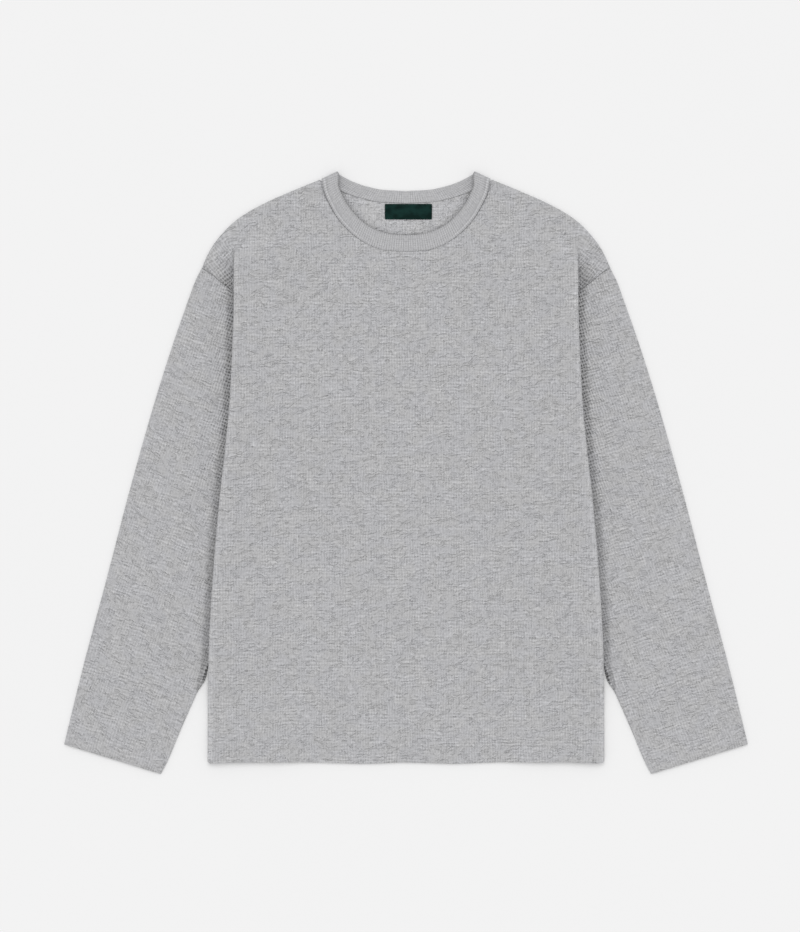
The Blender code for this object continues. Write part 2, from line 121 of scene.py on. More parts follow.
# Label
LABEL_CENTRE = Place(2.9, 312.8)
LABEL_WIDTH, LABEL_DEPTH, LABEL_CORNER = 56.4, 18.4, 1.2
LABEL_COLUMNS, LABEL_ROWS = 61, 21
LABEL_FOLDED, LABEL_STEP = 5.5, 2.0  # its ends are folded under by this, and it sags after that
LABEL_SAG, LABEL_SAG_SHARES = 0.25, (0.6, 0.4)  # the even share and that of a wave
LABEL_WAVE, LABEL_WAVE_SHIFT = 7.0, 0.6  # mm for one radian
LABEL_BULGE = 0.12

# How the layers are stacked
HEM = -349.2
UNDERARM = 51.0
FOLD_STARTS, FOLD_FULL = 283.0, 243.0  # the outer fold opens from a soft step to a full turn
UNROLLED = 36.0  # from the underarm down to here the inner fold opens out
SLEEVE_CLEARS = -231.0  # below this the sleeve is no longer under the body
SETTLE = 0.8  # there, the step down over its edge moves out by this for each mm of the way down
SLOPE = 55.0  # past the end of a layer under it, the cloth comes down over this length
SLEEVE_MARGIN, SEAM_MARGIN = 22.0, 14.0  # and starts to, this far past the end
SOFT_ABOVE, PRESSED_BELOW = -205.0, -285.0  # the roll flattens between these

# Grain of the knit: it turns about the head of the inner fold
GRAIN_TURN = radians(39.5)  # what the two folds turn the cloth by
GRAIN_STARTS, GRAIN_FULL = radians(-25), radians(75)  # clockwise from straight up

# Points of the sheets
JOIN = 200.0  # below this the rows are level
ROW, COLUMN, UNDER_COLUMN = 2.45, 3.175, 12.7  # spacing of the points, and between the folds
BEND_STEP, SOFT_BEND_STEP = pi / 6, pi / 12
NECK_COLUMNS, OUTER_COLUMNS = 36, 30  # over the chest, and from there to the fold
RIM = [pi / 4, 0.0, -pi / 4]  # angles of the points round an edge

# Relief of the cloth that lies on top
LIFT = 0.5  # the front panel's top lies this much looser than in the CAD model
EDGE_FADE = 7.0  # creases fade towards the seams and folds over this length
RETURN_LOOSE = 0.6  # on the shoulder outside the fold they have this share of their height
RETURN_FADE = 40.0  # and come up over this length
ARMHOLE_SLANT = 0.7  # distance from the armhole seam for each mm across
SEAM_RIDGE, SEAM_RIDGE_AT, SEAM_RIDGE_WIDTH = 0.30, 3.2, 1.8  # beside the armhole seam
RIDGE_OUTSIDE, LEVEL = 1.0, 0.99  # from this far past the body's fold, where the cloth faces up
STRETCH_AND_SHADE_WIDTH = 13.0  # beside the body's fold the knit is stretched open, and painted darker as shade, over about this length
STRETCH_AND_SHADE_MOST = 0.85  # by this much at the fold
STRETCH_AND_SHADE_REST = 0.38  # and by this much over the rest of the shoulder
STRETCH_AND_SHADE_BEGINS = 2.5  # it comes up over this length, from the fold's visible edge
CREST_AT, CREST_WIDTH, CREST_ENDS = -2.5, 3.5, 0.5  # the fold roll's top, painted lighter as a highlight, from that edge
STRETCH_AND_SHADE_STARTS, STRETCH_AND_SHADE_FULL = 290.0, 215.0  # down from the head of the fold
BACK_PAINTED_LIGHT = -0.7  # the back panel is painted lighter
POCKET = Place(240.0, -243.0)  # where the sleeve leaves the body's side, painted dark as its shade
POCKET_ALONG = Place(0.393, -0.92)  # direction of the sleeve's edge there
POCKET_LENGTH, POCKET_WIDTH, POCKET_SHADE = 16.0, 4.5, 1.5
HEM_DEPTH = 20.5  # from the hem up to its stitches
HEM_WAVE = line_through(  # the hem's line, from left to right
    (-233.0, -348.1), (-204.0, -347.2), (-140.0, -346.8), (-46.0, -348.7), (-2.0, -347.2),
    (55.0, -348.7), (120.0, -346.8), (185.0, -346.8), (228.0, -347.9),
)
HEM_WAVE_FADES = 60.0  # over this length, the rows above follow it less and less
HEM_CORNER = 2.5  # radius of the hem's rounded corners

# Small crinkles, scattered over the cloth
Crinkles = namedtuple("Crinkles", "count seed left right low high")
CRINKLES = {
    "front_cloth": Crinkles(1500, 11, -236.0, 236.0, -345.0, 345.0),
    "sleeve_right_cloth": Crinkles(620, 23, 130.0, 410.0, -360.0, 245.0),
    "sleeve_left_cloth": Crinkles(620, 37, -410.0, -130.0, -360.0, 245.0),
}
CRINKLE_ANGLE = (6.0, 20.0)  # mean and deviation, degrees
CRINKLE_STEEP, CRINKLE_STEEPER = 0.14, 80.0  # a share of them is turned further by this
CRINKLE_LENGTH, CRINKLE_SHORTEST = (4.0, 3.6), 6.0  # shape and scale of a gamma draw
CRINKLE_WIDTH = (1.5, 2.5)
CRINKLE_RISE, CRINKLE_RIDGES = (3.0, 0.050), 0.55  # gamma draw, and the share that rise
CRINKLE_BOW = 0.9

# Soft ridges and troughs. angle is in degrees, and bow is how far the middle is off the line.
Crease = namedtuple("Crease", "x y angle length width rise bow")
CREASES = {
    "front_cloth": [
        (-149, 251, 28, 26, 2.6, 0.51, 1), (-146, 236, 33, 14, 2.2, 0.39, 0),
        (-168, 241, 3, 26, 2.6, 0.33, 0.5), (-146, 214, 1, 34, 2.4, -0.30, 0.5),
        (-96, 195, 15, 52, 3.4, 0.60, 2), (-41, 181, 12, 26, 2.6, 0.51, 0.5),
        (-98, 179, 48, 14, 2.2, 0.39, 0), (-90, 180, -30, 14, 2.2, 0.36, 0),
        (-52, 202, -27, 34, 2.8, 0.51, -1.5), (-86, 151, 2, 34, 3, 0.39, 1),
        (-90, 139, 44, 15, 2.2, 0.42, 0), (-177, 158, 30, 14, 2.4, 0.39, 0),
        (-126, 154, 4, 26, 2.6, -0.36, 0), (-97, 134, -4, 60, 3.4, 0.39, 2.5),
        (-44, 120, 14, 30, 3, 0.51, 1), (-73, 91, 22, 22, 2.4, 0.42, 0), (-202, 96, 6, 22, 2.6, 0.39, 0),
        (-199, 126, 2, 26, 2.6, 0.33, 0), (-121, 62, 40, 12, 2.2, 0.51, 0),
        (-77, 62, 27, 18, 2.4, -0.42, 0), (-57, 74, 19, 30, 2.8, 0.45, 1),
        (-191, 46, 5, 46, 2.8, 0.39, 1.5), (-18, 38, 20, 28, 2.8, 0.42, 0.5),
        (-54, 17, 13, 40, 3, 0.54, 2), (-105, 7, 4, 16, 2.4, 0.51, 0), (-26, -10, 18, 30, 2.6, 0.39, 0.5),
        (-184, -18, 6, 30, 2.6, 0.39, 1), (-118, -53, 5, 28, 2.6, 0.60, 1),
        (-134, -61, 20, 22, 2.6, 0.48, 0), (-93, -46, 2, 30, 2.6, 0.36, 0),
        (-40, -70, 24, 18, 2.4, -0.36, 0), (-150, -96, 33, 24, 2.6, -0.33, 0),
        (-190, -212, 14, 58, 3.4, 0.54, 4), (-182, -228, 17, 44, 3, 0.45, 2),
        (-176, -236, 22, 34, 2.8, -0.39, 1), (-196, -250, 20, 40, 3, 0.36, 1.5),
        (-92, -271, 5, 34, 2.8, 0.54, 1.5), (-17, -292, 15, 36, 3, 0.54, 1.5),
        (-12, -301, 17, 30, 2.6, 0.42, 0.5), (-9, -283, 13, 24, 2.4, 0.36, 0),
        (-168, -325, -8, 24, 3, 0.39, 2), (-128, -190, 2, 60, 3.6, 0.33, 1.5),
        (-70, -205, 7, 46, 3.4, 0.39, -1), (-150, -168, 10, 34, 2.8, 0.36, 1),
        (-64, -312, -9, 32, 3, 0.39, -1), (73, 251, 3, 34, 2.6, -0.39, 0.5),
        (67, 235, 18, 18, 2.4, 0.42, 0), (178, 222, 13, 56, 3.2, 0.57, 2),
        (172, 213, 8, 40, 2.8, 0.42, -1), (138, 203, -24, 18, 2.4, 0.39, 0),
        (70, 181, 4, 24, 2.6, 0.54, 0.5), (30, 180, 9, 28, 2.6, -0.39, 0.5),
        (108, 165, -24, 22, 2.6, 0.51, 1), (104, 172, 42, 10, 2.2, 0.39, 0),
        (142, 143, 3, 50, 3.2, 0.48, 2.5), (164, 162, 2, 24, 2.6, 0.51, 0.5),
        (169, 119, -9, 38, 2.8, 0.45, 1.5), (150, 170, 30, 14, 2.2, 0.36, 0),
        (40, 107, 3, 24, 2.6, 0.36, 0), (80, 98, -6, 28, 2.8, 0.33, 1), (78, 24, 2, 28, 2.6, 0.48, 0.5),
        (89, 5, 24, 16, 2.4, 0.45, 0), (121, -14, -40, 18, 2.6, 0.48, 3),
        (90, -18, -2, 26, 2.8, 0.36, -1), (122, -2, 2, 30, 2.8, 0.36, 0.5),
        (201, -100, -18, 24, 2.8, 0.39, 1), (60, -60, 8, 40, 3.2, 0.33, 1.5),
        (160, -70, -28, 30, 2.8, 0.36, 1.5), (128, -229, 26, 20, 2.6, 0.54, 1),
        (121, -277, 15, 26, 2.8, 0.54, 0.5), (92, -243, -6, 26, 2.8, -0.45, -3),
        (80, -180, 3, 50, 3.4, 0.36, 1), (154, -192, -6, 40, 3, 0.36, 1.5),
        (180, -252, -24, 40, 3, 0.42, 1.5), (196, -284, -30, 34, 2.8, 0.36, 1),
        (44, -262, -4, 38, 3.2, 0.36, 1), (60, -326, 6, 34, 3, 0.39, 1), (24, -128, 10, 44, 3.4, 0.33, 1),
        (186, 34, 5, 34, 2.8, 0.36, 0.5), (196, -22, -4, 26, 2.6, 0.33, 0.5),
        (0, 236, 88, 40, 3, 0.36, 0), (-9, 252, 75, 16, 2.4, 0.36, 1), (-200, 205, 88, 90, 4, 0.36, 1),
        (199, 190, 92, 80, 4, 0.36, -1),
    ],
    "sleeve_right_cloth": [
        (262, 168, -64, 50, 3.6, 0.51, 2), (250, 120, -20, 30, 3.2, 0.39, 1),
        (284, 92, 22, 34, 3.2, 0.45, 1), (300, 30, 30, 30, 3, 0.39, 1), (276, -22, -62, 60, 4, 0.45, 2.5),
        (322, -62, 18, 34, 3.2, 0.45, 1), (300, -116, 10, 30, 3, 0.39, -1),
        (338, -150, 26, 36, 3.2, 0.48, 1), (312, -206, -66, 56, 4, 0.45, 2),
        (352, -238, 14, 30, 3, 0.42, 1), (326, -284, 20, 34, 3.2, 0.42, 1),
        (370, -300, 30, 24, 2.8, 0.36, 0.5),
    ],
    "sleeve_left_cloth": [
        (-256, 176, 60, 44, 3.6, 0.48, 2), (-262, 128, 16, 34, 3.2, 0.42, 1),
        (-272, 74, -24, 30, 3.2, 0.42, 1), (-306, 44, -14, 26, 3, 0.36, 1),
        (-290, -34, 66, 64, 4, 0.45, 2), (-318, -84, -22, 34, 3.2, 0.45, 1),
        (-296, -136, -6, 30, 3, 0.39, -1), (-344, -172, -30, 30, 3, 0.45, 1),
        (-318, -216, 70, 50, 4, 0.42, 2), (-346, -256, -10, 34, 3, 0.42, 1),
        (-330, -312, -24, 30, 3, 0.39, 1),
    ],
}

# Sleeves
SLEEVE_RINGS, SLEEVE_WRAP = 165, 6  # rings from armhole to cuff, and steps round each fold
SLEEVE_RING_STEP = 3.6  # from ring to ring, about
SLEEVE_SEAM_FADE = 12.0  # creases fade towards the armhole seam over this length

# Neckband
RIB_PITCH, RIB_COLUMNS = 2.8, 8  # and columns to a rib
RIB_GROOVE, RIB_SHARPNESS = 0.45, 0.8
RIB_UNEVEN = (0.62, 0.24, 0.14)  # the grooves' depth: even share, and those of two waves
RIB_WAVES, RIB_WAVE_SHIFT = (13.0, 4.7), 0.8  # mm along the band for one radian
RIBS_BEGIN, RIBS_FADE = 1.0, 1.5  # from the sewn edge
BAND_GAP = 0.2  # from the panels
FRONT_RIBS, BACK_RIBS, BAND_TURN = 49, 35, 12  # on each half, and steps of the shoulder's turn
BAND_ACROSS, BAND_ROUND = 9, 4  # points across each face and round each edge
BAND_NEAR_FOLD = 4  # power that keeps what the fold shifts close to it
SEWN_ROUND = 0.4  # length of the sewn edge's rounding, as a share of the free one's
BAND_RIDGE, BAND_RIDGE_AT, BAND_RIDGE_WIDTH = 0.42, 2.8, 1.1  # beside the neckband seam
BAND_TROUGH, BAND_TROUGH_AT, BAND_TROUGH_WIDTH = 0.24, 4.9, 0.9

# Painted shade at the neck
RIM_SHADE_WIDTH = 1.0  # painted shade along the front's free edge
RIM_SHADE_MIDDLE, RIM_SHADE_FULL = 0.5, 120.0  # its share there, and full from this far on
OPENING_SHADE, OPENING_SHADE_WIDTH = 0.62, 2.8  # painted shade of the neckband on the back panel inside it
OPENING_POINTS = 60  # the distance is taken to this many spots along each half of the edge

# Stitches of the hem
STITCH, STITCH_GAP, THREAD = 2.6, 0.9, 0.42  # length, space between, diameter
STITCH_ROWS = [0.0, 3.2]  # down from the top of the hem
STITCH_AROUND, STITCH_RINGS = 6, 5
STITCH_TAPER, STITCH_TIP = 1.02, 0.02  # the thread thins towards the ends of a stitch
STITCH_WANDER, STITCH_WAVE = 0.12, 1.7
STITCH_SITS, STITCH_SINKS = 0.10, 0.30  # above the cloth in its middle, and less at its ends
STITCH_MARGIN = 2.0  # from the fold

# Knit
WALE, COURSE = 3.1, 4.0  # pitch of the waffle across and along
LOOP, WEFT, WARP, TWIST = 2.6, 0.45, 0.6, 0.5  # and of the rib, the label and the thread
HOLES_END, HOLES_FULL = -260.0, -70.0  # the stretched waffle's holes are painted dark as shade less and less down here
WISP_SLANT = 0.15  # small creases rise this much for each millimetre across
WISP_LEVELS, WISP_WIDTH = (0.5, 0.57), 0.055  # of the noise that their ridge and trough follow
SIDES_FROM, SIDES_TO = (35.0, 80.0), (160.0, 175.0)  # of the neckband, from its front's middle
DARKEST = 0.10  # share of the base colour left in the deepest painted shade
WAFFLE_DEPTH, RIB_DEPTH, WEAVE_DEPTH, TWIST_DEPTH = 0.42, 0.30, 0.05, 0.06  # of the bump, in mm

# Colours
HUES = [(1.003, 1.0, 0.994), (0.998, 0.999, 1.008)]  # faint warm and cool patches
GREY = (0.414, 0.414, 0.422)
RIB_GREY = (0.413, 0.413, 0.422)
GREEN = (0.0052, 0.0204, 0.0174)

# Finishes: roughness, specular level, sheen
CLOTH_FINISH = (0.92, 0.25, 0.15)
THREAD_FINISH = (0.7, 0.25, 0.1)
LABEL_FINISH = (0.75, 0.05)
FLOOR_FINISH = (1.0, 0.0)
SHEEN_ROUGHNESS = 0.6

# Studio
FRAME_CENTRE = (-0.0072, 0.0078)
FRAME_HEIGHT = 1.1184  # what the picture takes in, in metres
LENS, SENSOR = 100.0, 36.0
FLOOR_SIZE, FLOOR_GREY = 14.0, 0.80
SKY = 0.85
SUN, SUN_ANGLE, SUN_TILT = 0.955, radians(50), radians(28)  # a wide sun makes soft shadows


def smooth_step(t):
    t = np.clip(t, 0.0, 1.0)
    return t * t * (3 - 2 * t)


def ramp(value, zero, one):
    """0 where a value is at or before zero, and 1 where it has reached one."""
    return smooth_step((value - zero) / (one - zero))


def bell(distance, width):
    """1 where the distance is 0, and almost 0 from twice the width on."""
    return np.exp(-((distance / width) ** 2))


def smooth_curve(knots, values, at):
    """The value at `at` of a curve through the knots that never overshoots them."""
    order = np.argsort(knots)
    knots, values = np.asarray(knots, float)[order], np.asarray(values, float)[order]
    width = np.diff(knots)
    rise = np.diff(values) / width
    slope = np.concatenate([rise[:1], np.zeros(len(rise) - 1), rise[-1:]])
    before, after = rise[:-1], rise[1:]
    steady = before * after > 0
    mean = 2 * before[steady] * after[steady] / (before[steady] + after[steady])
    slope[1:-1][steady] = mean
    at = np.clip(at, knots[0], knots[-1])
    k = np.clip(np.searchsorted(knots, at) - 1, 0, len(width) - 1)
    t = (at - knots[k]) / width[k]
    return (
        (2 * t**3 - 3 * t**2 + 1) * values[k]
        + (t**3 - 2 * t**2 + t) * width[k] * slope[k]
        + (3 * t**2 - 2 * t**3) * values[k + 1]
        + (t**3 - t**2) * width[k] * slope[k + 1]
    )


def across_at(outline, y):
    """X of an outline where it passes y."""
    return smooth_curve([p.y for p in outline], [p.x for p in outline], y)


def height_at(outline, x):
    """Y of an outline where it passes x."""
    return smooth_curve([p.x for p in outline], [p.y for p in outline], x)


def spread(outline, count):
    """count + 1 points along an outline, evenly spaced by length."""
    places = np.array(outline, float)
    run = np.concatenate([[0], np.cumsum(np.hypot(*np.diff(places, axis=0).T))])
    at = np.linspace(0, run[-1], count + 1)
    return np.stack([smooth_curve(run, places[:, axis], at) for axis in (0, 1)], axis=1)


def between(stations, step):
    """Levels from the first station to the last, through all of them, about a step apart."""
    levels = [stations[0]]
    for start, end in zip(stations, stations[1:]):
        parts = max(1, round(abs(start - end) / step))
        levels += [start + (end - start) * k / parts for k in range(1, parts + 1)]
    return levels


# The folded middle sheet of the body


def roll_radius(y):
    """Radius of the middle sheet at the outer fold."""
    soft = ramp(y, PRESSED_BELOW, SOFT_ABOVE)
    return HEM_BEND + (SOFT_BEND - HEM_BEND) * soft


def loft(y):
    """How far the roll lifts the top run, beyond a fold that is pressed flat."""
    return 2 * (roll_radius(y) - BEND)


def top_end(y):
    """X where the top run ends and the outer bend begins."""
    return across_at(FOLD, y) - roll_radius(y) - PAIR / 2


def body_inner(y):
    """X of the innermost cloth under the top run."""
    return across_at(INNER_FOLD if y > UNDERARM else SIDE_SEAM, y)


def support_inner(y):
    """X of the innermost cloth under the under run: the return run, and below it the sleeve."""
    if y > UNDERARM:
        return body_inner(y)
    settling = SETTLE * max(0.0, SLEEVE_CLEARS - y)
    return across_at(SLEEVE_INNER, y) - (SLEEVE_INNER[0].x - INNER_FOLD[1].x) + settling


def resting(x, edge, margin):
    """1 over a layer whose inner edge is given, and 0 well inside it."""
    return smooth_step((x - (edge - margin - SLOPE)) / SLOPE)


def turn(y):
    """Angle of the outer bend."""
    return pi * ramp(y, FOLD_STARTS, FOLD_FULL)


def under_width(y):
    """Length of the straight stretch between the two bends."""
    return max(0.0, top_end(y) - body_inner(y) - ROLL)


def fold_drop(y):
    """How far the two bends bring the sheet down."""
    return (roll_radius(y) + BEND) * (1 - cos(turn(y))) + under_width(y) * sin(turn(y))


def under_height(x, y):
    return FLOOR + STEP * resting(x, support_inner(y), SLEEVE_MARGIN)


def top_height(x, y):
    margin = SLEEVE_MARGIN if y > UNDERARM else SEAM_MARGIN
    lift = STEP * resting(x, body_inner(y), margin)
    lift = lift + STEP * resting(x, support_inner(y), SLEEVE_MARGIN)
    lift = lift + loft(y) * smooth_step((x - top_end(y) + LOFT_WIDTH) / LOFT_WIDTH)
    share = fold_drop(y) / (2 * STEP + loft(y)) if y > UNDERARM else 1.0
    return FLOOR + share * lift


def row_end(y):
    """X of the shoulder edge or the armhole seam, where a row ends."""
    return across_at(SHOULDER if y > ARMHOLE[0].y else ARMHOLE, y)


def grain(x, y, on_top):
    """Where a point of the cloth that shows lies on the cut piece."""
    apex = INNER_FOLD[0]
    dx, dy = x - apex.x, y - apex.y
    clockwise = np.arctan2(dx, dy)
    turned = GRAIN_TURN * ramp(clockwise, GRAIN_STARTS, GRAIN_FULL)
    if on_top:
        turned = np.where(dy < 0.0, 0.0, turned)
    across = apex.x + dx * np.cos(turned) - dy * np.sin(turned)
    along = apex.y + dx * np.sin(turned) + dy * np.cos(turned)
    return across, along


Run = namedtuple("Run", "points normals cloth keys loose")


def run_of(height, x, y, level, side, cloth, keys, loose):
    """A stretch of a row that lies on a height function, facing up for side 1."""
    reach = 0.5
    rise = (height(x + reach, level) - height(x - reach, level)) / (2 * reach)
    length = np.hypot(1, rise)
    flat = np.zeros(len(x))
    points = np.stack([x, y, height(x, level)], axis=1)
    normals = np.stack([-side * rise / length, flat, side / length], axis=1)
    return Run(points, normals, np.stack(cloth, axis=1), keys, loose)


def start_of(run):
    """The last spot of a run, as the first one of the next."""
    return Run(*[part[-1:] for part in run[:3]], np.zeros(1), run.loose[-1:])


def joined(first, more):
    return Run(*[np.concatenate([a, b]) for a, b in zip(first, more)])


def bend(before, first, last, radius, step, cloth_end=None):
    """A bend that turns from angle first to angle last below level."""
    start = start_of(before)
    if first == last:
        return start
    sense = 1 if last > first else -1
    parts = max(1, round(abs(last - first) / step))
    share = np.arange(1, parts + 1) / parts
    angle = first + (last - first) * share
    x0, y0, z0 = start.points[0]
    x = x0 - sense * radius * sin(first) + sense * radius * np.sin(angle)
    z = z0 - sense * radius * cos(first) + sense * radius * np.cos(angle)
    flat = np.zeros(parts)
    cloth = start.cloth + np.outer(share * radius * abs(last - first), [1.0, 0.0])
    if cloth_end is not None:
        cloth = start.cloth + np.outer(share, cloth_end - start.cloth[0])
    points = np.stack([x, np.full(parts, y0), z], axis=1)
    normals = np.stack([np.sin(angle), flat, np.cos(angle)], axis=1)
    return joined(start, Run(points, normals, cloth, share, flat))


def under_run(before, y, angle, width):
    """The stretch between the two bends."""
    start = start_of(before)
    if width <= 0:
        return start
    keys = np.array([*range(1, ceil(width / UNDER_COLUMN)), width / UNDER_COLUMN])
    along = keys * UNDER_COLUMN
    x0, y0, z0 = start.points[0]
    x, flat = x0 + along * cos(angle), np.zeros(len(keys))
    cloth = (start.cloth[0, 0] + along, start.cloth[0, 1] + flat)
    if angle == pi:
        more = run_of(under_height, x, flat + y0, y, -1, cloth, keys, flat)
        return joined(start, more)
    points = np.stack([x, flat + y0, z0 - along * sin(angle)], axis=1)
    normals = np.stack([flat + sin(angle), flat, flat + cos(angle)], axis=1)
    return joined(start, Run(points, normals, np.stack(cloth, axis=1), keys, flat))


def folded_row(y, places, loose):
    """The five stretches of one row. Each starts with the last spot of the one before."""
    angle = turn(y)
    keys = np.arange(len(places), dtype=float)
    cloth = grain(places[:, 0], places[:, 1], True)
    top = run_of(top_height, places[:, 0], places[:, 1], y, 1, cloth, keys, loose)
    runs = [top]
    end_y = places[-1, 1]
    if angle == 0:
        runs += [start_of(top)] * 3
    else:
        opened = ramp(y, UNDERARM, UNROLLED)
        runs.append(bend(top, 0.0, angle, roll_radius(y), SOFT_BEND_STEP))
        runs.append(under_run(runs[-1], y, angle, under_width(y) + opened * ROLL))
        inner = angle * (1 - opened)
        landing = None
        if y >= UNDERARM:
            landing = np.array(grain(runs[-1].points[-1, 0], end_y, False))
        runs.append(bend(runs[-1], angle, angle - inner, BEND, BEND_STEP, landing))
    start = start_of(runs[-1])
    length = row_end(y) - start.points[0, 0] if y >= UNDERARM else 0.0
    if length <= SEAM:
        return runs + [start]
    parts = ceil(length / COLUMN)
    share = np.arange(1, parts + 1) / parts
    x = start.points[0, 0] + length * share
    points = np.stack([x, np.full(parts, end_y), np.full(parts, start.points[0, 2])], axis=1)
    normals = np.tile([0.0, 0.0, 1.0], (parts, 1))
    to_edge = smooth_step((row_end(y) - x) * ARMHOLE_SLANT / EDGE_FADE)
    free = to_edge * smooth_step(length * share / RETURN_FADE) * RETURN_LOOSE
    cloth = np.stack(grain(x, points[:, 1], angle == 0), axis=1)
    back = Run(points, normals, cloth, share, free)
    return runs + [joined(start, back)]


def top_columns(y):
    """X of the top run's columns: even ones over the chest, and fixed ones near the fold."""
    end = top_end(y)
    inner = end - OUTER_COLUMNS * COLUMN
    chest = np.linspace(0, inner, NECK_COLUMNS + 1)
    return np.concatenate([chest, inner + COLUMN * np.arange(1, OUTER_COLUMNS + 1)])


def panel_levels():
    """Y of the rows at the fold's column: those below the neck, and the level ones."""
    start = float(height_at(SHOULDER, top_end(JOIN)))
    upper = between([start, FOLD_STARTS, ARMHOLE[0].y, JOIN], ROW)
    lower = between([JOIN, UNDERARM, UNROLLED, HEM + HEM_DEPTH, HEM], ROW)
    return upper, lower[1:]


def panel_rows(neck):
    """The rows of the right half, from the neck and shoulder down to the hem."""
    upper, lower = panel_levels()
    edge = top_columns(upper[0])[NECK_COLUMNS + 1 :]
    outline = np.concatenate(
        [spread(neck, NECK_COLUMNS), np.stack([edge, height_at(SHOULDER, edge)], axis=1)]
    )
    outline[-1, 1] = upper[0]
    columns = top_columns(JOIN)
    join = np.stack([columns, np.full(len(columns), JOIN)], axis=1)
    rows = []
    for y in upper:
        places = outline + (join - outline) * (upper[0] - y) / (upper[0] - JOIN)
        from_edge = np.hypot(*(places - outline).T)
        loose = smooth_step(from_edge / EDGE_FADE)
        loose = loose * smooth_step((places[-1, 0] - places[:, 0]) / EDGE_FADE)
        rows.append(folded_row(y, places, loose))
    for y in lower:
        columns = top_columns(y)
        loose = smooth_step((columns[-1] - columns) / EDGE_FADE)
        places = np.stack([columns, np.full(len(columns), y)], axis=1)
        rows.append(folded_row(y, places, loose))
    return rows


def zip_rows(upper, lower, upper_keys, lower_keys, upper_first):
    """Triangles between two strips of vertices, stepping along whichever key is behind."""
    triangles = []
    i = j = 0
    last_up, last_down = len(upper) - 1, len(lower) - 1
    while i < last_up or j < last_down:
        up = upper_keys[i + 1] if i < last_up else float("inf")
        down = lower_keys[j + 1] if j < last_down else float("inf")
        if up < down or (up == down and upper_first):
            triangles.append((upper[i], lower[j], upper[i + 1]))
            i += 1
        else:
            triangles.append((upper[i], lower[j], lower[j + 1]))
            j += 1
    return triangles


Sheet = namedtuple("Sheet", "points normals cloth loose triangles")


def whole_sheet(rows):
    """Both halves of a folded sheet, joined along the centre line."""
    strips, parts, count = [], [], 0
    for row in rows:
        strip, last = [], None
        for run in row:
            skip = 0 if last is None else 1
            fresh = len(run.keys) - skip
            indices = ([] if last is None else [last]) + list(range(count, count + fresh))
            parts.append([piece[skip:] for piece in (run.points, run.normals, run.cloth, run.loose)])
            count += fresh
            last = indices[-1]
            strip.append((indices, run.keys.tolist()))
        strips.append(strip)
    triangles = []
    for upper, lower in zip(strips, strips[1:]):
        for part, (above, below) in enumerate(zip(upper, lower)):
            triangles += zip_rows(above[0], below[0], above[1], below[1], part == 2)
    points, normals, cloth, loose = [np.concatenate(piece) for piece in zip(*parts)]
    triangles = np.array(triangles)
    away = points[:, 0] > 0
    mirror = np.arange(count)
    mirror[away] = count + np.arange(away.sum())
    flip = np.array([-1.0, 1.0, 1.0])
    return Sheet(
        np.concatenate([points, points[away] * flip]),
        np.concatenate([normals, normals[away] * flip]),
        np.concatenate([cloth, cloth[away] * flip[:2]]),
        np.concatenate([loose, loose[away]]),
        np.concatenate([triangles, mirror[triangles][:, ::-1]]),
    )


def crinkles(name):
    """Short shallow ridges and troughs, mostly across the cloth."""
    count, seed, left, right, low, high = CRINKLES[name]
    random = np.random.default_rng(seed)
    xs, ys = random.uniform(left, right, count), random.uniform(low, high, count)
    angles = random.normal(*CRINKLE_ANGLE, count)
    angles += np.where(random.random(count) < CRINKLE_STEEP, CRINKLE_STEEPER, 0.0)
    lengths = random.gamma(*CRINKLE_LENGTH, count) + CRINKLE_SHORTEST
    widths = random.uniform(*CRINKLE_WIDTH, count)
    rises = random.gamma(*CRINKLE_RISE, count)
    rises *= np.where(random.random(count) < CRINKLE_RIDGES, 1.0, -1.0)
    bows = random.normal(0.0, CRINKLE_BOW, count)
    return list(zip(xs, ys, angles, lengths, widths, rises, bows))


def crease_relief(x, y, name):
    """Height of a piece's creases and crinkles, never below the layer under it."""
    relief = np.zeros(len(x))
    for row in CREASES[name] + crinkles(name):
        crease = Crease(*row)
        angle = radians(crease.angle)
        dx, dy = x - crease.x, y - crease.y
        along = (dx * cos(angle) + dy * sin(angle)) * 2 / crease.length
        across = dy * cos(angle) - dx * sin(angle) - crease.bow * (1 - along**2)
        near = (np.abs(along) < 1) & (np.abs(across) < 4 * crease.width)
        shape = bell(across[near], crease.width)
        relief[near] += crease.rise * (1 - along[near] ** 2) ** 2 * shape
    return np.maximum(relief, -LIFT)


def hem_shift(x, y):
    """How far the hem's wave and its rounded corners move a point along Y."""
    wave = smooth_curve([p.x for p in HEM_WAVE], [p.y for p in HEM_WAVE], x) - HEM
    wave = wave * (1 - smooth_step((y - HEM) / HEM_WAVE_FADES))
    start = FOLD[-1].x - PAIR / 2 - HEM_CORNER
    into = np.clip((np.abs(x) - start) / HEM_CORNER, 0.0, 1.0)
    corner = HEM_CORNER * (1 - np.sqrt(1 - into**2))
    return wave + corner * (1 - smooth_step((y - HEM) / (3 * HEM_CORNER)))


# Meshes


def placed(name, data):
    """A new object in the scene."""
    made = bpy.data.objects.new(name, data)
    bpy.context.scene.collection.objects.link(made)
    return made


def new_object(name, points, faces, cloth, material, shade=None):
    """A smooth-shaded mesh. cloth gives each point's place on the cut piece, in mm.

    shade goes to the materials as "opened": painted shade, 0 to 1 and more where it is deeper,
    which on the waffle is also how far the knit is stretched open; below 0 it is painted light.
    """
    mesh = bpy.data.meshes.new(name)
    mesh.from_pydata((np.asarray(points) * MM).tolist(), [], faces)
    mesh.update()
    corners = np.zeros(len(mesh.loops), dtype=np.int32)
    mesh.loops.foreach_get("vertex_index", corners)
    layer = mesh.uv_layers.new(name="cloth")
    layer.data.foreach_set("uv", (np.asarray(cloth)[corners] * MM).ravel().astype(np.float32))
    if shade is not None:
        opened = mesh.attributes.new("opened", "FLOAT", "POINT")
        opened.data.foreach_set("value", np.asarray(shade, dtype=np.float32))
    mesh.polygons.foreach_set("use_smooth", np.ones(len(faces), dtype=bool))
    mesh.materials.append(material)
    return placed(name, mesh)


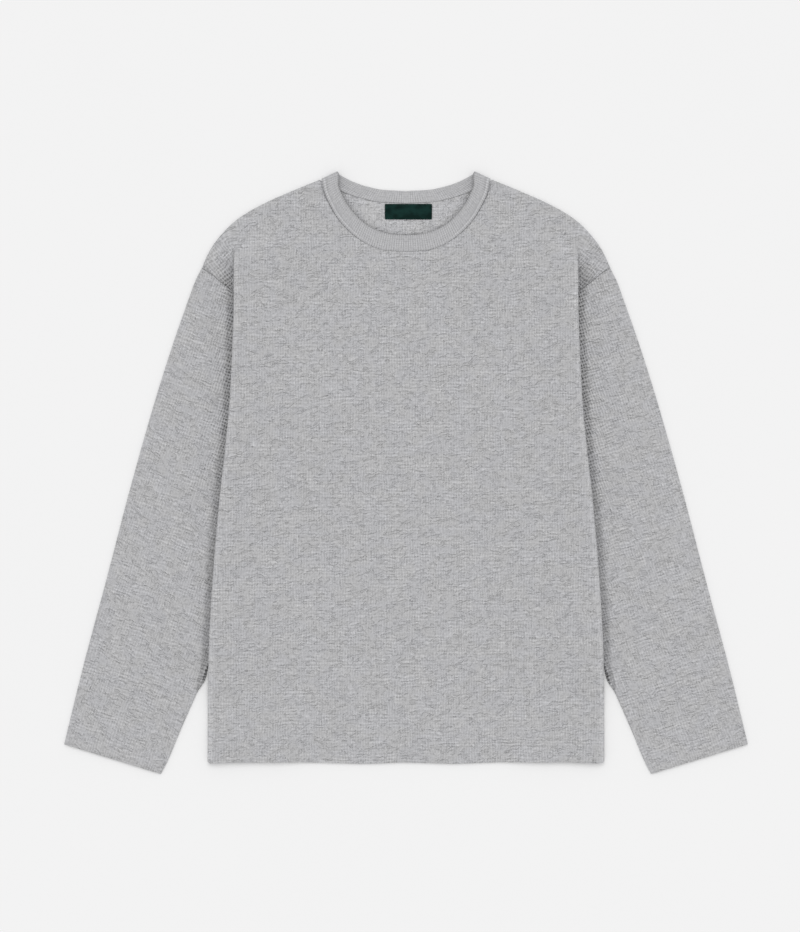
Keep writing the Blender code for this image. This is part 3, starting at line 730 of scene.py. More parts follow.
def border_of(triangles):
    """Edges of a sheet that only one triangle has, each in that triangle's direction."""
    edges = np.concatenate([triangles[:, [0, 1]], triangles[:, [1, 2]], triangles[:, [2, 0]]])
    size = int(edges.max()) + 1
    forward = edges[:, 0] * size + edges[:, 1]
    backward = edges[:, 1] * size + edges[:, 0]
    return edges[~np.isin(forward, backward)]


def closed_wall(name, sheet, near, far, bulge, material, shade=None):
    """The wall between two distances along a sheet's normals, with rounded edges."""
    points, normals, triangles = sheet.points, sheet.normals, sheet.triangles
    count = len(points)
    near, far = np.broadcast_to(near, count)[:, None], np.broadcast_to(far, count)[:, None]
    border = border_of(triangles)
    tangent = np.zeros((count, 3))
    for end in (0, 1):
        np.add.at(tangent, border[:, end], points[border[:, 1]] - points[border[:, 0]])
    outward = np.cross(tangent, normals)
    outward /= np.maximum(np.linalg.norm(outward, axis=1), 1e-9)[:, None]
    rim = np.unique(border)
    place = np.zeros(count, dtype=int)
    place[rim] = np.arange(len(rim))
    bulge = bulge(points[rim])[:, None]
    walls, cloth = [points + far * normals, points + near * normals], [sheet.cloth, sheet.cloth]
    shade = np.zeros(count) if shade is None else shade
    shades = [shade, shade]
    for angle in RIM:
        height = (far + near)[rim] / 2 + (far - near)[rim] / 2 * sin(angle)
        walls.append(points[rim] + normals[rim] * height + outward[rim] * bulge * cos(angle))
        cloth.append(sheet.cloth[rim])
        shades.append(shade[rim])
    faces = triangles.tolist() + (triangles[:, ::-1] + count).tolist()
    rings = [border] + [place[border] + 2 * count + k * len(rim) for k in range(len(RIM))]
    rings.append(border + count)
    for upper, lower in zip(rings, rings[1:]):
        faces += np.concatenate([upper[:, ::-1], lower], axis=1).tolist()
    walls, cloth, shades = [np.concatenate(part) for part in (walls, cloth, shades)]
    return new_object(name, walls, faces, cloth, material, shades)


def seam_or_free(points):
    """How far an edge of a body panel rounds out: more at the hem, which is free."""
    return np.where(points[:, 1] < HEM + HEM_CORNER, EDGE_BULGE, SEAM_BULGE)


def stretch_and_painted_shade(past_fold, rest):
    """How far the knit is stretched open and painted darker as shade, at a distance outside the body's
    fold.
    """
    near = np.exp(-np.maximum(past_fold, 0.0) / STRETCH_AND_SHADE_WIDTH)
    return STRETCH_AND_SHADE_MOST * near + rest * (1 - near)


def armhole_distance(points):
    """Distance from the armhole seam, about, for what lies outside the body's fold."""
    x, y = np.abs(points[:, 0]), points[:, 1]
    edge = across_at(ARMHOLE, np.clip(y, UNDERARM, ARMHOLE[0].y))
    return np.where(y < ARMHOLE[0].y, (edge - x) * ARMHOLE_SLANT, np.inf)


def beside_opening(points):
    """1 along the free edge of the neckband's front, and 0 some millimetres inside it."""
    edge = spread(FRONT_OPENING, OPENING_POINTS)
    edge = np.concatenate([edge, edge * [-1.0, 1.0]])
    near = np.zeros(len(points))
    inside = points[:, 1] > FRONT_OPENING[0].y - 4 * OPENING_SHADE_WIDTH
    gaps = points[inside, None, :2] - edge
    distance = np.hypot(gaps[..., 0], gaps[..., 1]).min(axis=1)
    near[inside] = bell(distance, OPENING_SHADE_WIDTH)
    return near


def panel(name, neck, near, far, material):
    """One body panel. The front's top also has its creases, hem and seam ridges."""
    sheet = whole_sheet(panel_rows(neck))
    if name in CREASES:
        x, y = sheet.points[:, 0], sheet.points[:, 1]
        relief = LIFT + crease_relief(x, y, name)
        sheet.points[:, 2] += sheet.loose * relief
        far = np.full(len(x), far)
        outside = (np.abs(x) > across_at(FOLD, y) + RIDGE_OUTSIDE) & (sheet.normals[:, 2] > LEVEL)
        ridge = bell(armhole_distance(sheet.points) - SEAM_RIDGE_AT, SEAM_RIDGE_WIDTH)
        far[outside] += (SEAM_RIDGE * ridge)[outside]
        # Beside the body's fold the knit is stretched open and painted darker as shade
        past_fold = np.abs(x) - across_at(FOLD, y)
        shade = stretch_and_painted_shade(past_fold, STRETCH_AND_SHADE_REST) * smooth_step(past_fold / STRETCH_AND_SHADE_BEGINS)
        shade *= ramp(y, STRETCH_AND_SHADE_STARTS, STRETCH_AND_SHADE_FULL)
        # Painted highlight on the top of the fold's roll
        crest = bell(past_fold - CREST_AT, CREST_WIDTH)
        crest *= ramp(y, FOLD_STARTS, FOLD_FULL)
        shade -= np.where((past_fold < CREST_ENDS) & (sheet.normals[:, 2] > 0.0), crest, 0.0)
    else:
        # The back panel is painted lighter, and darker as painted shade along the neckband's front
        shade = BACK_PAINTED_LIGHT + (OPENING_SHADE - BACK_PAINTED_LIGHT) * beside_opening(sheet.points)
    sheet.points[:, 1] += hem_shift(sheet.points[:, 0], sheet.points[:, 1])
    return closed_wall(name, sheet, near, far, seam_or_free, material, shade)


def grid_faces(rows, columns, rows_close, columns_close):
    """Quads between the points of a grid that closes on itself in the directions given."""
    r, c = np.meshgrid(
        np.arange(rows if rows_close else rows - 1),
        np.arange(columns if columns_close else columns - 1),
        indexing="ij",
    )
    r, c = r.ravel(), c.ravel()
    r1, c1 = (r + 1) % rows, (c + 1) % columns
    return np.stack([r * columns + c, r1 * columns + c, r1 * columns + c1, r * columns + c1], axis=1)


# Sleeves


def armhole_points():
    """Where the body's rows end along the armhole, moved out by the seam's gap."""
    upper, lower = panel_levels()
    levels = [y for y in [*upper, *lower] if UNDERARM <= y <= ARMHOLE[0].y]
    points = np.array([(row_end(y), y) for y in levels])
    along = np.gradient(points, axis=0)
    outward = np.stack([-along[:, 1], along[:, 0]], axis=1) / np.hypot(*along.T)[:, None]
    return points + outward * SEAM_OFFSET


def sleeve_rings():
    """The flat stretch of each ring, from the armhole to the cuff, and its direction."""
    seam = armhole_points()
    outer, inner = spread(SLEEVE_OUTER, SLEEVE_RINGS), spread(SLEEVE_INNER, SLEEVE_RINGS)
    outer += (seam[0] - outer[0]) * np.linspace(1, 0, SLEEVE_RINGS + 1)[:, None]
    inner += (seam[-1] - inner[0]) * np.linspace(1, 0, SLEEVE_RINGS + 1)[:, None]
    bow = seam - np.linspace(seam[0], seam[-1], len(seam))
    rings = []
    for k, (start, end) in enumerate(zip(outer, inner)):
        across = (end - start) / np.hypot(*(end - start))
        flat = np.linspace(start + across * FLOOR, end - across * FLOOR, len(seam))
        rings.append((flat + bow * (1 - k / SLEEVE_RINGS) ** 2, across))
    return rings


def sleeve_section(flat, across, offset):
    """Points of one ring, offset outwards from the middle of the sleeve's wall."""
    radius = (CLOTH + SEAM) / 2 + offset
    top = np.column_stack([flat, np.full(len(flat), FLOOR + radius)])
    bottom = np.column_stack([flat[::-1], np.full(len(flat), FLOOR - radius)])
    angle = pi * np.arange(1, SLEEVE_WRAP) / SLEEVE_WRAP
    height = FLOOR + radius * np.cos(angle)
    inner = np.column_stack([flat[-1] + np.outer(radius * np.sin(angle), across), height])
    outer = np.column_stack([flat[0] - np.outer(radius * np.sin(angle), across), height[::-1]])
    return np.concatenate([top, inner, bottom, outer])


def sleeve_cloth(points, flat_count):
    """Place on the cut piece: along the sleeve's axis, and across from its outer fold."""
    start = np.mean([SLEEVE_OUTER[0], SLEEVE_INNER[0]], axis=0)
    end = np.mean([SLEEVE_OUTER[-1], SLEEVE_INNER[-1]], axis=0)
    axis = (end - start) / np.hypot(*(end - start))
    side = np.array([axis[1], -axis[0]])
    from_start = points[..., :2] - start
    along, across = -(from_start @ axis), from_start @ side
    fold, last = across[:, :1], flat_count + SLEEVE_WRAP - 1
    across[:, last:] = 2 * fold - across[:, last:]
    return np.stack([across, along], axis=-1)


def sleeve(name, side, material):
    """A flattened tube, open at the armhole and at the cuff."""
    rings = sleeve_rings()
    outside = np.array([sleeve_section(*ring, CLOTH / 2) for ring in rings])
    inside = np.array([sleeve_section(*ring, -CLOTH / 2) for ring in rings])
    rows, around = outside.shape[:2]
    flat_count = len(rings[0][0])
    cloth = sleeve_cloth(outside, flat_count)

    to_side = np.minimum(np.arange(around), flat_count - 1 - np.arange(around))
    width = np.hypot(*(outside[:, flat_count - 1, :2] - outside[:, 0, :2]).T) / flat_count
    from_fold = np.clip(to_side, 0, None)[None, :] * width[:, None]
    from_seam = np.arange(rows)[:, None] * SLEEVE_RING_STEP
    loose = smooth_step(from_fold / EDGE_FADE) * smooth_step(from_seam / SLEEVE_SEAM_FADE)
    relief = crease_relief(side * outside[..., 0].ravel(), outside[..., 1].ravel(), name)
    relief = (LIFT + relief.reshape(rows, around)) * loose
    outside[..., 2] += relief
    inside[..., 2] += relief

    rim_rows = []
    for row, before in ((0, 1), (rows - 1, rows - 2)):
        along = (outside[row] - outside[before]) + (inside[row] - inside[before])
        along[:, 2] = 0.0
        along /= np.linalg.norm(along, axis=1)[:, None]
        bulge = SEAM_BULGE if row == 0 else EDGE_BULGE
        middle, half = (outside[row] + inside[row]) / 2, (outside[row] - inside[row]) / 2
        rim_rows.append([middle + half * sin(a) + along * bulge * cos(a) for a in RIM])
    first, last = rim_rows
    loop = np.concatenate([outside, last, inside[::-1], first[::-1]])
    cloth_loop = np.concatenate(
        [cloth, [cloth[-1]] * len(RIM), cloth[::-1], [cloth[0]] * len(RIM)]
    )
    faces = grid_faces(len(loop), around, True, True)[:, ::-1]
    points = loop.reshape(-1, 3)
    # Beside the body's fold the sleeve's knit is stretched open and painted darker as shade
    past_fold = points[:, 0] - across_at(FOLD, points[:, 1])
    shade = stretch_and_painted_shade(past_fold, 0.0)
    # Deeper painted shade where the sleeve leaves the body's side, along its edge
    from_pocket = points[:, :2] - POCKET
    down = from_pocket @ np.array(POCKET_ALONG) / POCKET_LENGTH
    beside = from_pocket @ np.array([-POCKET_ALONG.y, POCKET_ALONG.x]) / POCKET_WIDTH
    shade += POCKET_SHADE * np.exp(-(down**2) - beside**2)
    points[:, 0] *= side
    cloth = cloth_loop.reshape(-1, 2)
    cloth[:, 0] *= side
    if side < 0:
        faces = faces[:, ::-1]
    return new_object(name, points, faces.tolist(), cloth, material, shade)


# Neckband


def band_edges(neck, opening, count):
    """Sewn and free edge of the band's right half, from the centre to the shoulder fold."""
    sewn, free = spread(neck, count), spread(opening, count)
    towards = free - sewn
    sewn += towards * (BAND_GAP / np.hypot(*towards.T))[:, None]
    fold = free[-1] - BAND_FOLD
    outward = np.array([fold[1], -fold[0]]) / np.hypot(*fold)
    near_fold = np.linspace(0, 1, count + 1)[:, None] ** BAND_NEAR_FOLD
    sewn += near_fold * (BAND_FOLD - sewn[-1])
    free -= near_fold * outward * (RIB + (RIB_GAP + BAND_LIFT) / 2)
    return sewn, free, outward


def band_half():
    """Sewn edge, free edge and normal, from the front's centre to the back's.

    The edges are those of the band's middle sheet. The front's free edge stands up, so the
    turn at the shoulder is a cone that is wider there than at the sewn edge.
    """
    back_sewn, back_free, outward = band_edges(BACK_NECK, BACK_OPENING, BACK_RIBS * RIB_COLUMNS)
    front_sewn, front_free, _ = band_edges(FRONT_NECK, FRONT_OPENING, FRONT_RIBS * RIB_COLUMNS)
    up = np.array([0.0, 0.0, 1.0])
    half = []
    for k, (sewn, free) in enumerate(zip(front_sewn, front_free)):
        near_fold = smooth_step(k / (len(front_sewn) - 1))
        low = (CLOTH + SEAM) * (1 - near_fold) + (RIB + RIB_GAP) * near_fold + RIB / 2
        lift = BAND_LIFT_MIDDLE + (BAND_LIFT - BAND_LIFT_MIDDLE) * near_fold
        half.append((np.array([*sewn, low]), np.array([*free, low + lift]), up))
    radii = [(RIB + RIB_GAP) / 2, (RIB + RIB_GAP + BAND_LIFT) / 2]
    for k in range(1, BAND_TURN):
        angle = pi * k / BAND_TURN
        ends = []
        for edge, radius in zip((front_sewn[-1], front_free[-1]), radii):
            place = edge + outward * radius * sin(angle)
            ends.append(np.array([*place, RIB / 2 + radius * (1 + cos(angle))]))
        normal = np.array([*(outward * sin(angle)), cos(angle)])
        half.append((*ends, normal))
    for sewn, free in zip(back_sewn[::-1], back_free[::-1]):
        half.append((np.array([*sewn, RIB / 2]), np.array([*free, RIB / 2]), -up))
    return half


def band_profile(width):
    """Distance from the sewn edge and half thickness, at points across the band."""
    radius = RIB / 2
    turn_angle = np.linspace(0, pi / 2, BAND_ROUND + 1)
    ends, heights = radius * (1 - np.cos(turn_angle)), radius * np.sin(turn_angle)
    middle = np.linspace(radius, width - radius, BAND_ACROSS + 2)[1:-1]
    at = np.concatenate([ends * SEWN_ROUND, middle, width - ends[::-1]])
    half = np.concatenate([heights, np.full(BAND_ACROSS, radius), heights[::-1]])
    return at, half


def neckband(material):
    """A flattened ring of ribs: the front over the back, turned over at both shoulders."""
    half = band_half()
    flip = np.array([-1.0, 1.0, 1.0])
    ring = half + [tuple(part * flip for part in row) for row in half[-2:0:-1]]
    middles = np.array([(sewn + free) / 2 for sewn, free, _ in half])
    run = np.concatenate([[0], np.cumsum(np.linalg.norm(np.diff(middles, axis=0), axis=1))])
    run = np.concatenate([run, run[-2:0:-1]])
    count = len(half)
    phase = np.arange(count) / RIB_COLUMNS
    phase = np.concatenate([phase, phase[-2:0:-1]])

    even, slow, fast = RIB_UNEVEN
    points, cloth, shade = [], [], []
    for (sewn, free, normal), s, turn_phase in zip(ring, run, phase):
        width = np.linalg.norm(free - sewn)
        at, thick = band_profile(width)
        line = sewn + np.outer(at / width, free - sewn)
        uneven = even + slow * sin(s / RIB_WAVES[0] + RIB_WAVE_SHIFT) + fast * sin(s / RIB_WAVES[1])
        groove = RIB_GROOVE * uneven * (1 - abs(sin(pi * turn_phase)) ** RIB_SHARPNESS)
        ribbed = smooth_step((at - RIBS_BEGIN) / RIBS_FADE)
        relief = 1 - groove / (RIB / 2) * ribbed
        ridge = BAND_RIDGE * bell(at - BAND_RIDGE_AT, BAND_RIDGE_WIDTH)
        ridge -= BAND_TROUGH * bell(at - BAND_TROUGH_AT, BAND_TROUGH_WIDTH)
        outside = line + np.outer(thick * relief + ridge * max(0.0, normal[2]), normal)
        inside = line - np.outer(thick * relief + ridge * max(0.0, -normal[2]), normal)
        points.append(np.concatenate([outside, inside[-2:0:-1]]))
        across = np.concatenate([at, (2 * width - at)[-2:0:-1]])
        cloth.append(np.column_stack([np.full(len(across), s), across]))
        # Painted shade along the front's free edge, less in the middle
        rim = bell(width - at, RIM_SHADE_WIDTH) * max(0.0, normal[2])
        rim *= RIM_SHADE_MIDDLE + (1 - RIM_SHADE_MIDDLE) * smooth_step(s / RIM_SHADE_FULL)
        shade.append(np.concatenate([rim, rim[-2:0:-1]]))
    around = len(points[0])
    faces = grid_faces(len(ring), around, True, True).tolist()
    points, cloth, shade = [np.concatenate(part) for part in (points, cloth, shade)]
    return new_object("neckband_cloth", points, faces, cloth, material, shade)


# Label


def label_bulge(points):
    """How far the label's edge rounds out: the same all round."""
    return np.full(len(points), LABEL_BULGE)


def label(material):
    """A woven label with both ends folded under, so it is thickest there."""
    across = np.linspace(-1, 1, LABEL_COLUMNS) * LABEL_WIDTH / 2
    along = np.linspace(-1, 1, LABEL_ROWS) * LABEL_DEPTH / 2
    x, y = [part.ravel() for part in np.meshgrid(across, along)]
    inner_x, inner_y = LABEL_WIDTH / 2 - LABEL_CORNER, LABEL_DEPTH / 2 - LABEL_CORNER
    past_x, past_y = np.abs(x) - inner_x, np.abs(y) - inner_y
    corner = (past_x > 0) & (past_y > 0)
    shrink = np.ones(len(x))
    reach = np.hypot(past_x[corner], past_y[corner])
    shrink[corner] = np.maximum(past_x[corner], past_y[corner]) / reach
    x[corner] = np.sign(x[corner]) * (inner_x + past_x[corner] * shrink[corner])
    y[corner] = np.sign(y[corner]) * (inner_y + past_y[corner] * shrink[corner])
    from_end = LABEL_WIDTH / 2 - np.abs(x)
    folded = 1 - smooth_step((from_end - LABEL_FOLDED) / LABEL_STEP)
    even, waved = LABEL_SAG_SHARES
    sag = LABEL_SAG * (1 - folded) * (even + waved * np.cos(x / LABEL_WAVE + LABEL_WAVE_SHIFT))
    middle = CLOTH + SEAM + LABEL_CLOTH / 2
    points = np.column_stack([x + LABEL_CENTRE.x, y + LABEL_CENTRE.y, np.full(len(x), middle)])
    quads = grid_faces(LABEL_ROWS, LABEL_COLUMNS, False, False)[:, ::-1]
    triangles = np.concatenate([quads[:, [0, 1, 2]], quads[:, [0, 2, 3]]])
    normals = np.tile([0.0, 0.0, 1.0], (len(x), 1))
    sheet = Sheet(points, normals, points[:, :2], np.ones(len(x)), triangles)
    half = LABEL_CLOTH / 2
    return closed_wall("woven_label", sheet, -half, half - sag, label_bulge, material)


# Stitches


def hem_stitches(material):
    """Two rows of short thread stitches that hold the front's hem."""
    around, rings = STITCH_AROUND, STITCH_RINGS
    share = np.linspace(-1, 1, rings)
    thick = np.sqrt(np.clip(STITCH_TAPER - share**2, STITCH_TIP, 1)) * THREAD / 2
    sits = STITCH_SITS - STITCH_SINKS * share**2
    turn_angle = 2 * pi * np.arange(around) / around
    rows = []
    for row_y in STITCH_ROWS:
        y0 = HEM + HEM_DEPTH - row_y
        end = float(top_end(y0)) - STITCH_MARGIN
        middles = np.arange(-end, end, STITCH + STITCH_GAP)
        x = middles[:, None] + share * STITCH / 2
        y = np.full(x.shape, y0) + STITCH_WANDER * np.sin(middles * STITCH_WAVE)[:, None]
        relief = LIFT + crease_relief(x.ravel(), y.ravel(), "front_cloth").reshape(x.shape)
        loose = smooth_step((end + STITCH_MARGIN - np.abs(x)) / EDGE_FADE)
        z = top_height(np.abs(x), y0) + loose * relief + SEAM / 2 + CLOTH + sits
        rows.append(np.stack([x, y + hem_shift(x, y), z], axis=-1))
    middle_line = np.concatenate(rows)
    count = len(middle_line)
    flat = np.zeros((rings, around))
    offset = np.stack(
        [flat, np.outer(thick, np.cos(turn_angle)), np.outer(thick, np.sin(turn_angle))], axis=-1
    )
    points = (middle_line[:, :, None, :] + offset).reshape(-1, 3)
    tube = grid_faces(rings, around, False, True)[:, ::-1]
    caps = [np.arange(around), (rings - 1) * around + np.arange(around)[::-1]]
    first = np.arange(count) * rings * around
    faces = [(part + start).tolist() for start in first for part in (*tube, *caps)]
    return new_object("hem_stitches", points, faces, points[:, :2], material)


# Materials


class Nodes:
    """Short calls for the nodes of one material."""

    def __init__(self, name):
        self.material = bpy.data.materials.new(name)
        self.material.use_nodes = True
        self.tree = self.material.node_tree
        self.shader = self.tree.nodes["Principled BSDF"]

    def put(self, socket, value):
        if isinstance(value, bpy.types.NodeSocket):
            self.tree.links.new(value, socket)
        else:
            socket.default_value = value

    def node(self, kind, **inputs):
        """A new node, with numbers or links for the inputs named."""
        made = self.tree.nodes.new("ShaderNode" + kind)
        for name, value in inputs.items():
            self.put(made.inputs[name], value)
        return made

    def finish(self, roughness, specular, sheen=0.0):
        self.shader.inputs["Roughness"].default_value = roughness
        self.shader.inputs["Specular IOR Level"].default_value = specular
        self.shader.inputs["Sheen Weight"].default_value = sheen
        if sheen > 0.0:
            self.shader.inputs["Sheen Roughness"].default_value = SHEEN_ROUGHNESS
        return self.material

    def math(self, operation, *values, clamp=False):
        node = self.node("Math")
        node.operation = operation
        node.use_clamp = clamp
        for socket, value in zip(node.inputs, values):
            self.put(socket, value)
        return node.outputs[0]

    def spot(self):
        """Place on the cut piece, across and along, in mm."""
        uv = self.node("UVMap")
        uv.uv_map = "cloth"
        split = self.node("SeparateXYZ", Vector=uv.outputs[0])
        return [self.math("MULTIPLY", split.outputs[axis], 1 / MM) for axis in (0, 1)]

    def attribute(self, name):
        node = self.node("Attribute")
        node.attribute_name = name
        return node.outputs["Fac"]

    def noise(self, across, along, size_across, size_along, seed, detail=1.0, rough=0.5):
        """Soft noise about 0.5, with features of the sizes given in mm."""
        x = self.math("DIVIDE", across, size_across)
        y = self.math("DIVIDE", along, size_along)
        place = self.node("CombineXYZ", X=x, Y=y, Z=seed).outputs[0]
        noise = self.node("TexNoise", Vector=place, Scale=1.0, Detail=detail, Roughness=rough)
        return noise.outputs[0]

    def uneven(self, *place, **form):
        """The same noise, about 0."""
        return self.math("SUBTRACT", self.noise(*place, **form), 0.5)

    def swing(self, value, middle, share):
        """value less its middle, times a share."""
        return self.math("MULTIPLY", self.math("SUBTRACT", value, middle), share)

    def total(self, start, *parts):
        """start and each part times its share."""
        for part, share in parts:
            start = self.math("MULTIPLY_ADD", part, share, start)
        return start

    def ranged(self, value, low, high, to_low=0.0, to_high=1.0):
        """value, mapped smoothly from one range to another and held at its ends."""
        node = self.node("MapRange")
        node.interpolation_type = "SMOOTHSTEP"
        for socket, number in zip(node.inputs, (value, low, high, to_low, to_high)):
            self.put(socket, number)
        return node.outputs[0]

    def wisps(self, across, along, size_across, size_along, seed, cover):
        """Thin wandering lines that come and go: a ridge, 1, with a trough, -1, beside it."""
        field = self.noise(across, along, size_across, size_along, seed)
        lines = []
        for level in WISP_LEVELS:
            off = self.math("ABSOLUTE", self.math("SUBTRACT", field, level))
            lines.append(self.ranged(off, 0.0, WISP_WIDTH, 1.0, 0.0))
        line = self.math("SUBTRACT", *lines)
        share = self.noise(across, along, size_across * 0.9, size_along * 1.8, seed + 3.0)
        return self.math("MULTIPLY", line, self.ranged(share, cover, cover + 0.12))

    def ridge(self, place, pitch, power):
        """Rounded ridges, 1 along their tops and 0 half-way between them."""
        wave = self.math("COSINE", self.math("MULTIPLY", place, 2 * pi / pitch))
        raised = self.math("MULTIPLY_ADD", wave, 0.5, 0.5)
        return self.math("POWER", raised, power)

    def tint(self, light, colour, patches=None):
        """The base colour: one colour times a light factor, with faint patches of another hue."""
        node = self.node("Mix")
        node.data_type = "RGBA"
        warm, cool = [tuple(c * t for c, t in zip(colour, hue)) for hue in HUES]
        node.inputs["A"].default_value = (*warm, 1.0)
        node.inputs["B"].default_value = (*cool, 1.0)
        self.put(node.inputs["Factor"], 0.5 if patches is None else patches)
        scale = self.node("VectorMath")
        scale.operation = "SCALE"
        self.put(scale.inputs[0], node.outputs["Result"])
        self.put(scale.inputs["Scale"], light)
        self.put(self.shader.inputs["Base Color"], scale.outputs[0])

    def bump(self, height, depth):
        """Bump from a height of 0 to 1, which stands for depth in mm."""
        node = self.node("Bump", Strength=1.0, Distance=depth * MM, Height=height)
        self.put(self.shader.inputs["Normal"], node.outputs[0])


def waffle_material():
    n = Nodes("waffle_knit")
    across, along = n.spot()
    # The attribute holds painted shade and the knit's stretch, and painted light where it is below 0
    opened = n.attribute("opened")
    # The stretched waffle's holes are painted dark as shade, less so towards the hem and the cuffs
    pits = n.math("MULTIPLY", opened, n.ranged(along, HOLES_END, HOLES_FULL), clamp=True)

    # The knit is drawn out of its grid a little, here one way and there another
    pull = [n.uneven(across, along, 24, 17, seed, detail=2.0) for seed in (1.3, 7.9)]
    kink = [n.uneven(across, along, 6.5, 5.0, seed) for seed in (12.4, 15.8)]
    s = n.total(across, (pull[0], 4.6), (kink[0], 1.3))
    t = n.total(along, (pull[1], 6.6), (kink[1], 3.0))
    slanted = n.math("MULTIPLY_ADD", across, -WISP_SLANT, t)

    wale_share = n.ranged(n.noise(across, along, 18, 30, 21.0, detail=2.0), 0.34, 0.62, 0.30, 1.1)
    course_share = n.ranged(n.noise(across, along, 30, 16, 33.0, detail=2.0), 0.38, 0.66, 0.06, 0.85)
    wale_share = n.math("MAXIMUM", wale_share, opened)
    course_share = n.math("MAXIMUM", course_share, n.math("MULTIPLY", opened, 1.3))
    wale_tops, course_tops = n.ridge(s, WALE, 1.3), n.ridge(t, COURSE, 1.4)
    wales = n.math("MULTIPLY", wale_tops, wale_share)
    courses = n.math("MULTIPLY", course_tops, course_share)
    hole = n.math("MULTIPLY", n.math("SUBTRACT", 1.0, wales), n.math("SUBTRACT", 1.0, courses))
    waffle = n.math("SUBTRACT", 1.0, hole)

    # Small creases and uneven yarn
    long_wisps = n.wisps(s, slanted, 13.0, 5.2, 44.0, 0.42)
    short_wisps = n.wisps(s, slanted, 6.0, 4.4, 57.0, 0.44)
    tufts = n.uneven(s, slanted, 4.2, 3.4, 49.0)
    knots = n.uneven(s, slanted, 2.4, 2.1, 52.0, detail=0.0)
    cloud = n.uneven(across, along, 14.0, 9.0, 61.0, detail=2.0)
    fuzz = n.uneven(across, along, 1.1, 2.6, 63.0, detail=1.0)

    yarn = ((tufts, 0.5), (knots, 0.6), (long_wisps, 0.85), (short_wisps, 0.6), (fuzz, 0.18))
    n.bump(n.total(waffle, *yarn), WAFFLE_DEPTH)

    # Each part below lightens or darkens the base colour by its share
    specks = n.ranged(n.noise(across, along, 2.6, 2.4, 70.0, detail=1.0), 0.70, 0.80, 0.0, -0.22)
    heather = n.uneven(across, along, 1.9, 4.2, 77.0)
    broad = n.uneven(across, along, 60, 45, 81.0, detail=2.0)
    light = n.total(
        n.math("ADD", 0.975, specks),
        # The waffle's ridges are painted lighter and the hollows between them darker, as shade
        (n.swing(wale_tops, 0.20, wale_share), 0.17),
        (n.swing(course_tops, 0.33, course_share), 0.25),
        (tufts, 0.04),
        (knots, 0.33),
        # The small creases' ridges are painted lighter and their troughs darker, as light and shade
        (long_wisps, 0.12),
        (short_wisps, 0.10),
        (cloud, 0.02),
        (heather, 0.10),
        (broad, 0.04),
        # The holes are painted dark as shade
        (n.math("MULTIPLY", n.ranged(hole, 0.35, 0.9), pits), -0.46),
        (n.ranged(opened, 0.33, 0.58), -0.32),  # painted shade beside the folds
        (n.ranged(opened, 0.68, 0.85), 0.09),  # painted shade a little less close to them
        (n.ranged(opened, 1.0, 2.2), -0.55),  # painted shade where the sleeve leaves the body's side
        (n.ranged(opened, -1.0, 0.0, 1.0, 0.0), 0.11),  # painted light on the crest of the body's fold and on the back panel
    )
    light = n.math("MAXIMUM", light, DARKEST)
    patches = n.ranged(n.noise(across, along, 26, 22, 90.0, detail=1.0), 0.4, 0.6)
    n.tint(light, GREY, patches)
    return n.finish(*CLOTH_FINISH)


def rib_material():
    n = Nodes("rib_knit")
    along, across = n.spot()
    loops = n.ridge(n.math("MULTIPLY_ADD", n.ridge(along, RIB_PITCH, 1.0), 0.5, across), LOOP, 1.0)
    fuzz = n.noise(along, across, 1.1, 1.1, 4.0, detail=2.0)
    tufts = n.uneven(along, across, 4.6, 4.0, 6.0, detail=2.0)
    n.bump(n.total(0.0, (loops, 0.5), (fuzz, 0.5), (tufts, 1.6)), RIB_DEPTH)
    tops = n.ridge(n.math("ADD", along, RIB_PITCH / 2), RIB_PITCH, 0.8)
    shown = n.ranged(n.noise(along, across, 22, 14, 8.0, detail=1.0), 0.38, 0.58, 0.35, 1.0)
    heather = n.uneven(along, across, 1.8, 2.6, 9.0, detail=3.0, rough=0.6)
    from_ridge = n.math("ABSOLUTE", n.math("SUBTRACT", across, BAND_RIDGE_AT))
    from_trough = n.math("ABSOLUTE", n.math("SUBTRACT", across, BAND_TROUGH_AT))
    # The seam's ridge is painted lighter and the trough beside it darker, as light and shade, at the
    # sides, not in the middle or at the back
    sides = n.math("SUBTRACT", n.ranged(along, *SIDES_FROM), n.ranged(along, *SIDES_TO))
    light = n.total(
        0.985,
        (heather, 0.46),
        (tufts, 0.36),
        # The ribs' tops are painted lighter and the grooves between them darker, as shade
        (n.swing(tops, 0.55, shown), 0.30),
        (n.swing(loops, 0.5, shown), 0.12),
        (n.math("MULTIPLY", n.ranged(from_ridge, 0.3, 1.2, 1.0, 0.0), sides), 0.14),
        (n.math("MULTIPLY", n.ranged(from_trough, 0.2, 1.0, 1.0, 0.0), sides), -0.12),
        # Painted shade along the front's free edge
        (n.attribute("opened"), -0.45),
    )
    n.tint(light, RIB_GREY, n.noise(along, across, 20, 12, 3.0))
    return n.finish(*CLOTH_FINISH)


def label_material():
    n = Nodes("woven_label")
    across, along = n.spot()
    weft = n.ridge(along, WEFT, 1.0)
    warp = n.ridge(n.math("MULTIPLY_ADD", along, 0.5, across), WARP, 1.0)
    height = n.math("MULTIPLY_ADD", weft, 0.6, n.math("MULTIPLY", warp, 0.4))
    n.bump(height, WEAVE_DEPTH)
    cloudy = n.ranged(n.noise(across, along, 12, 10, 5.0, detail=2.0), 0.34, 0.66)
    # Darker between the threads: painted shade of the weave
    light = n.math("MULTIPLY_ADD", cloudy, 0.7, n.math("MULTIPLY_ADD", height, 0.3, 0.5))
    n.tint(light, GREEN)
    return n.finish(*LABEL_FINISH)


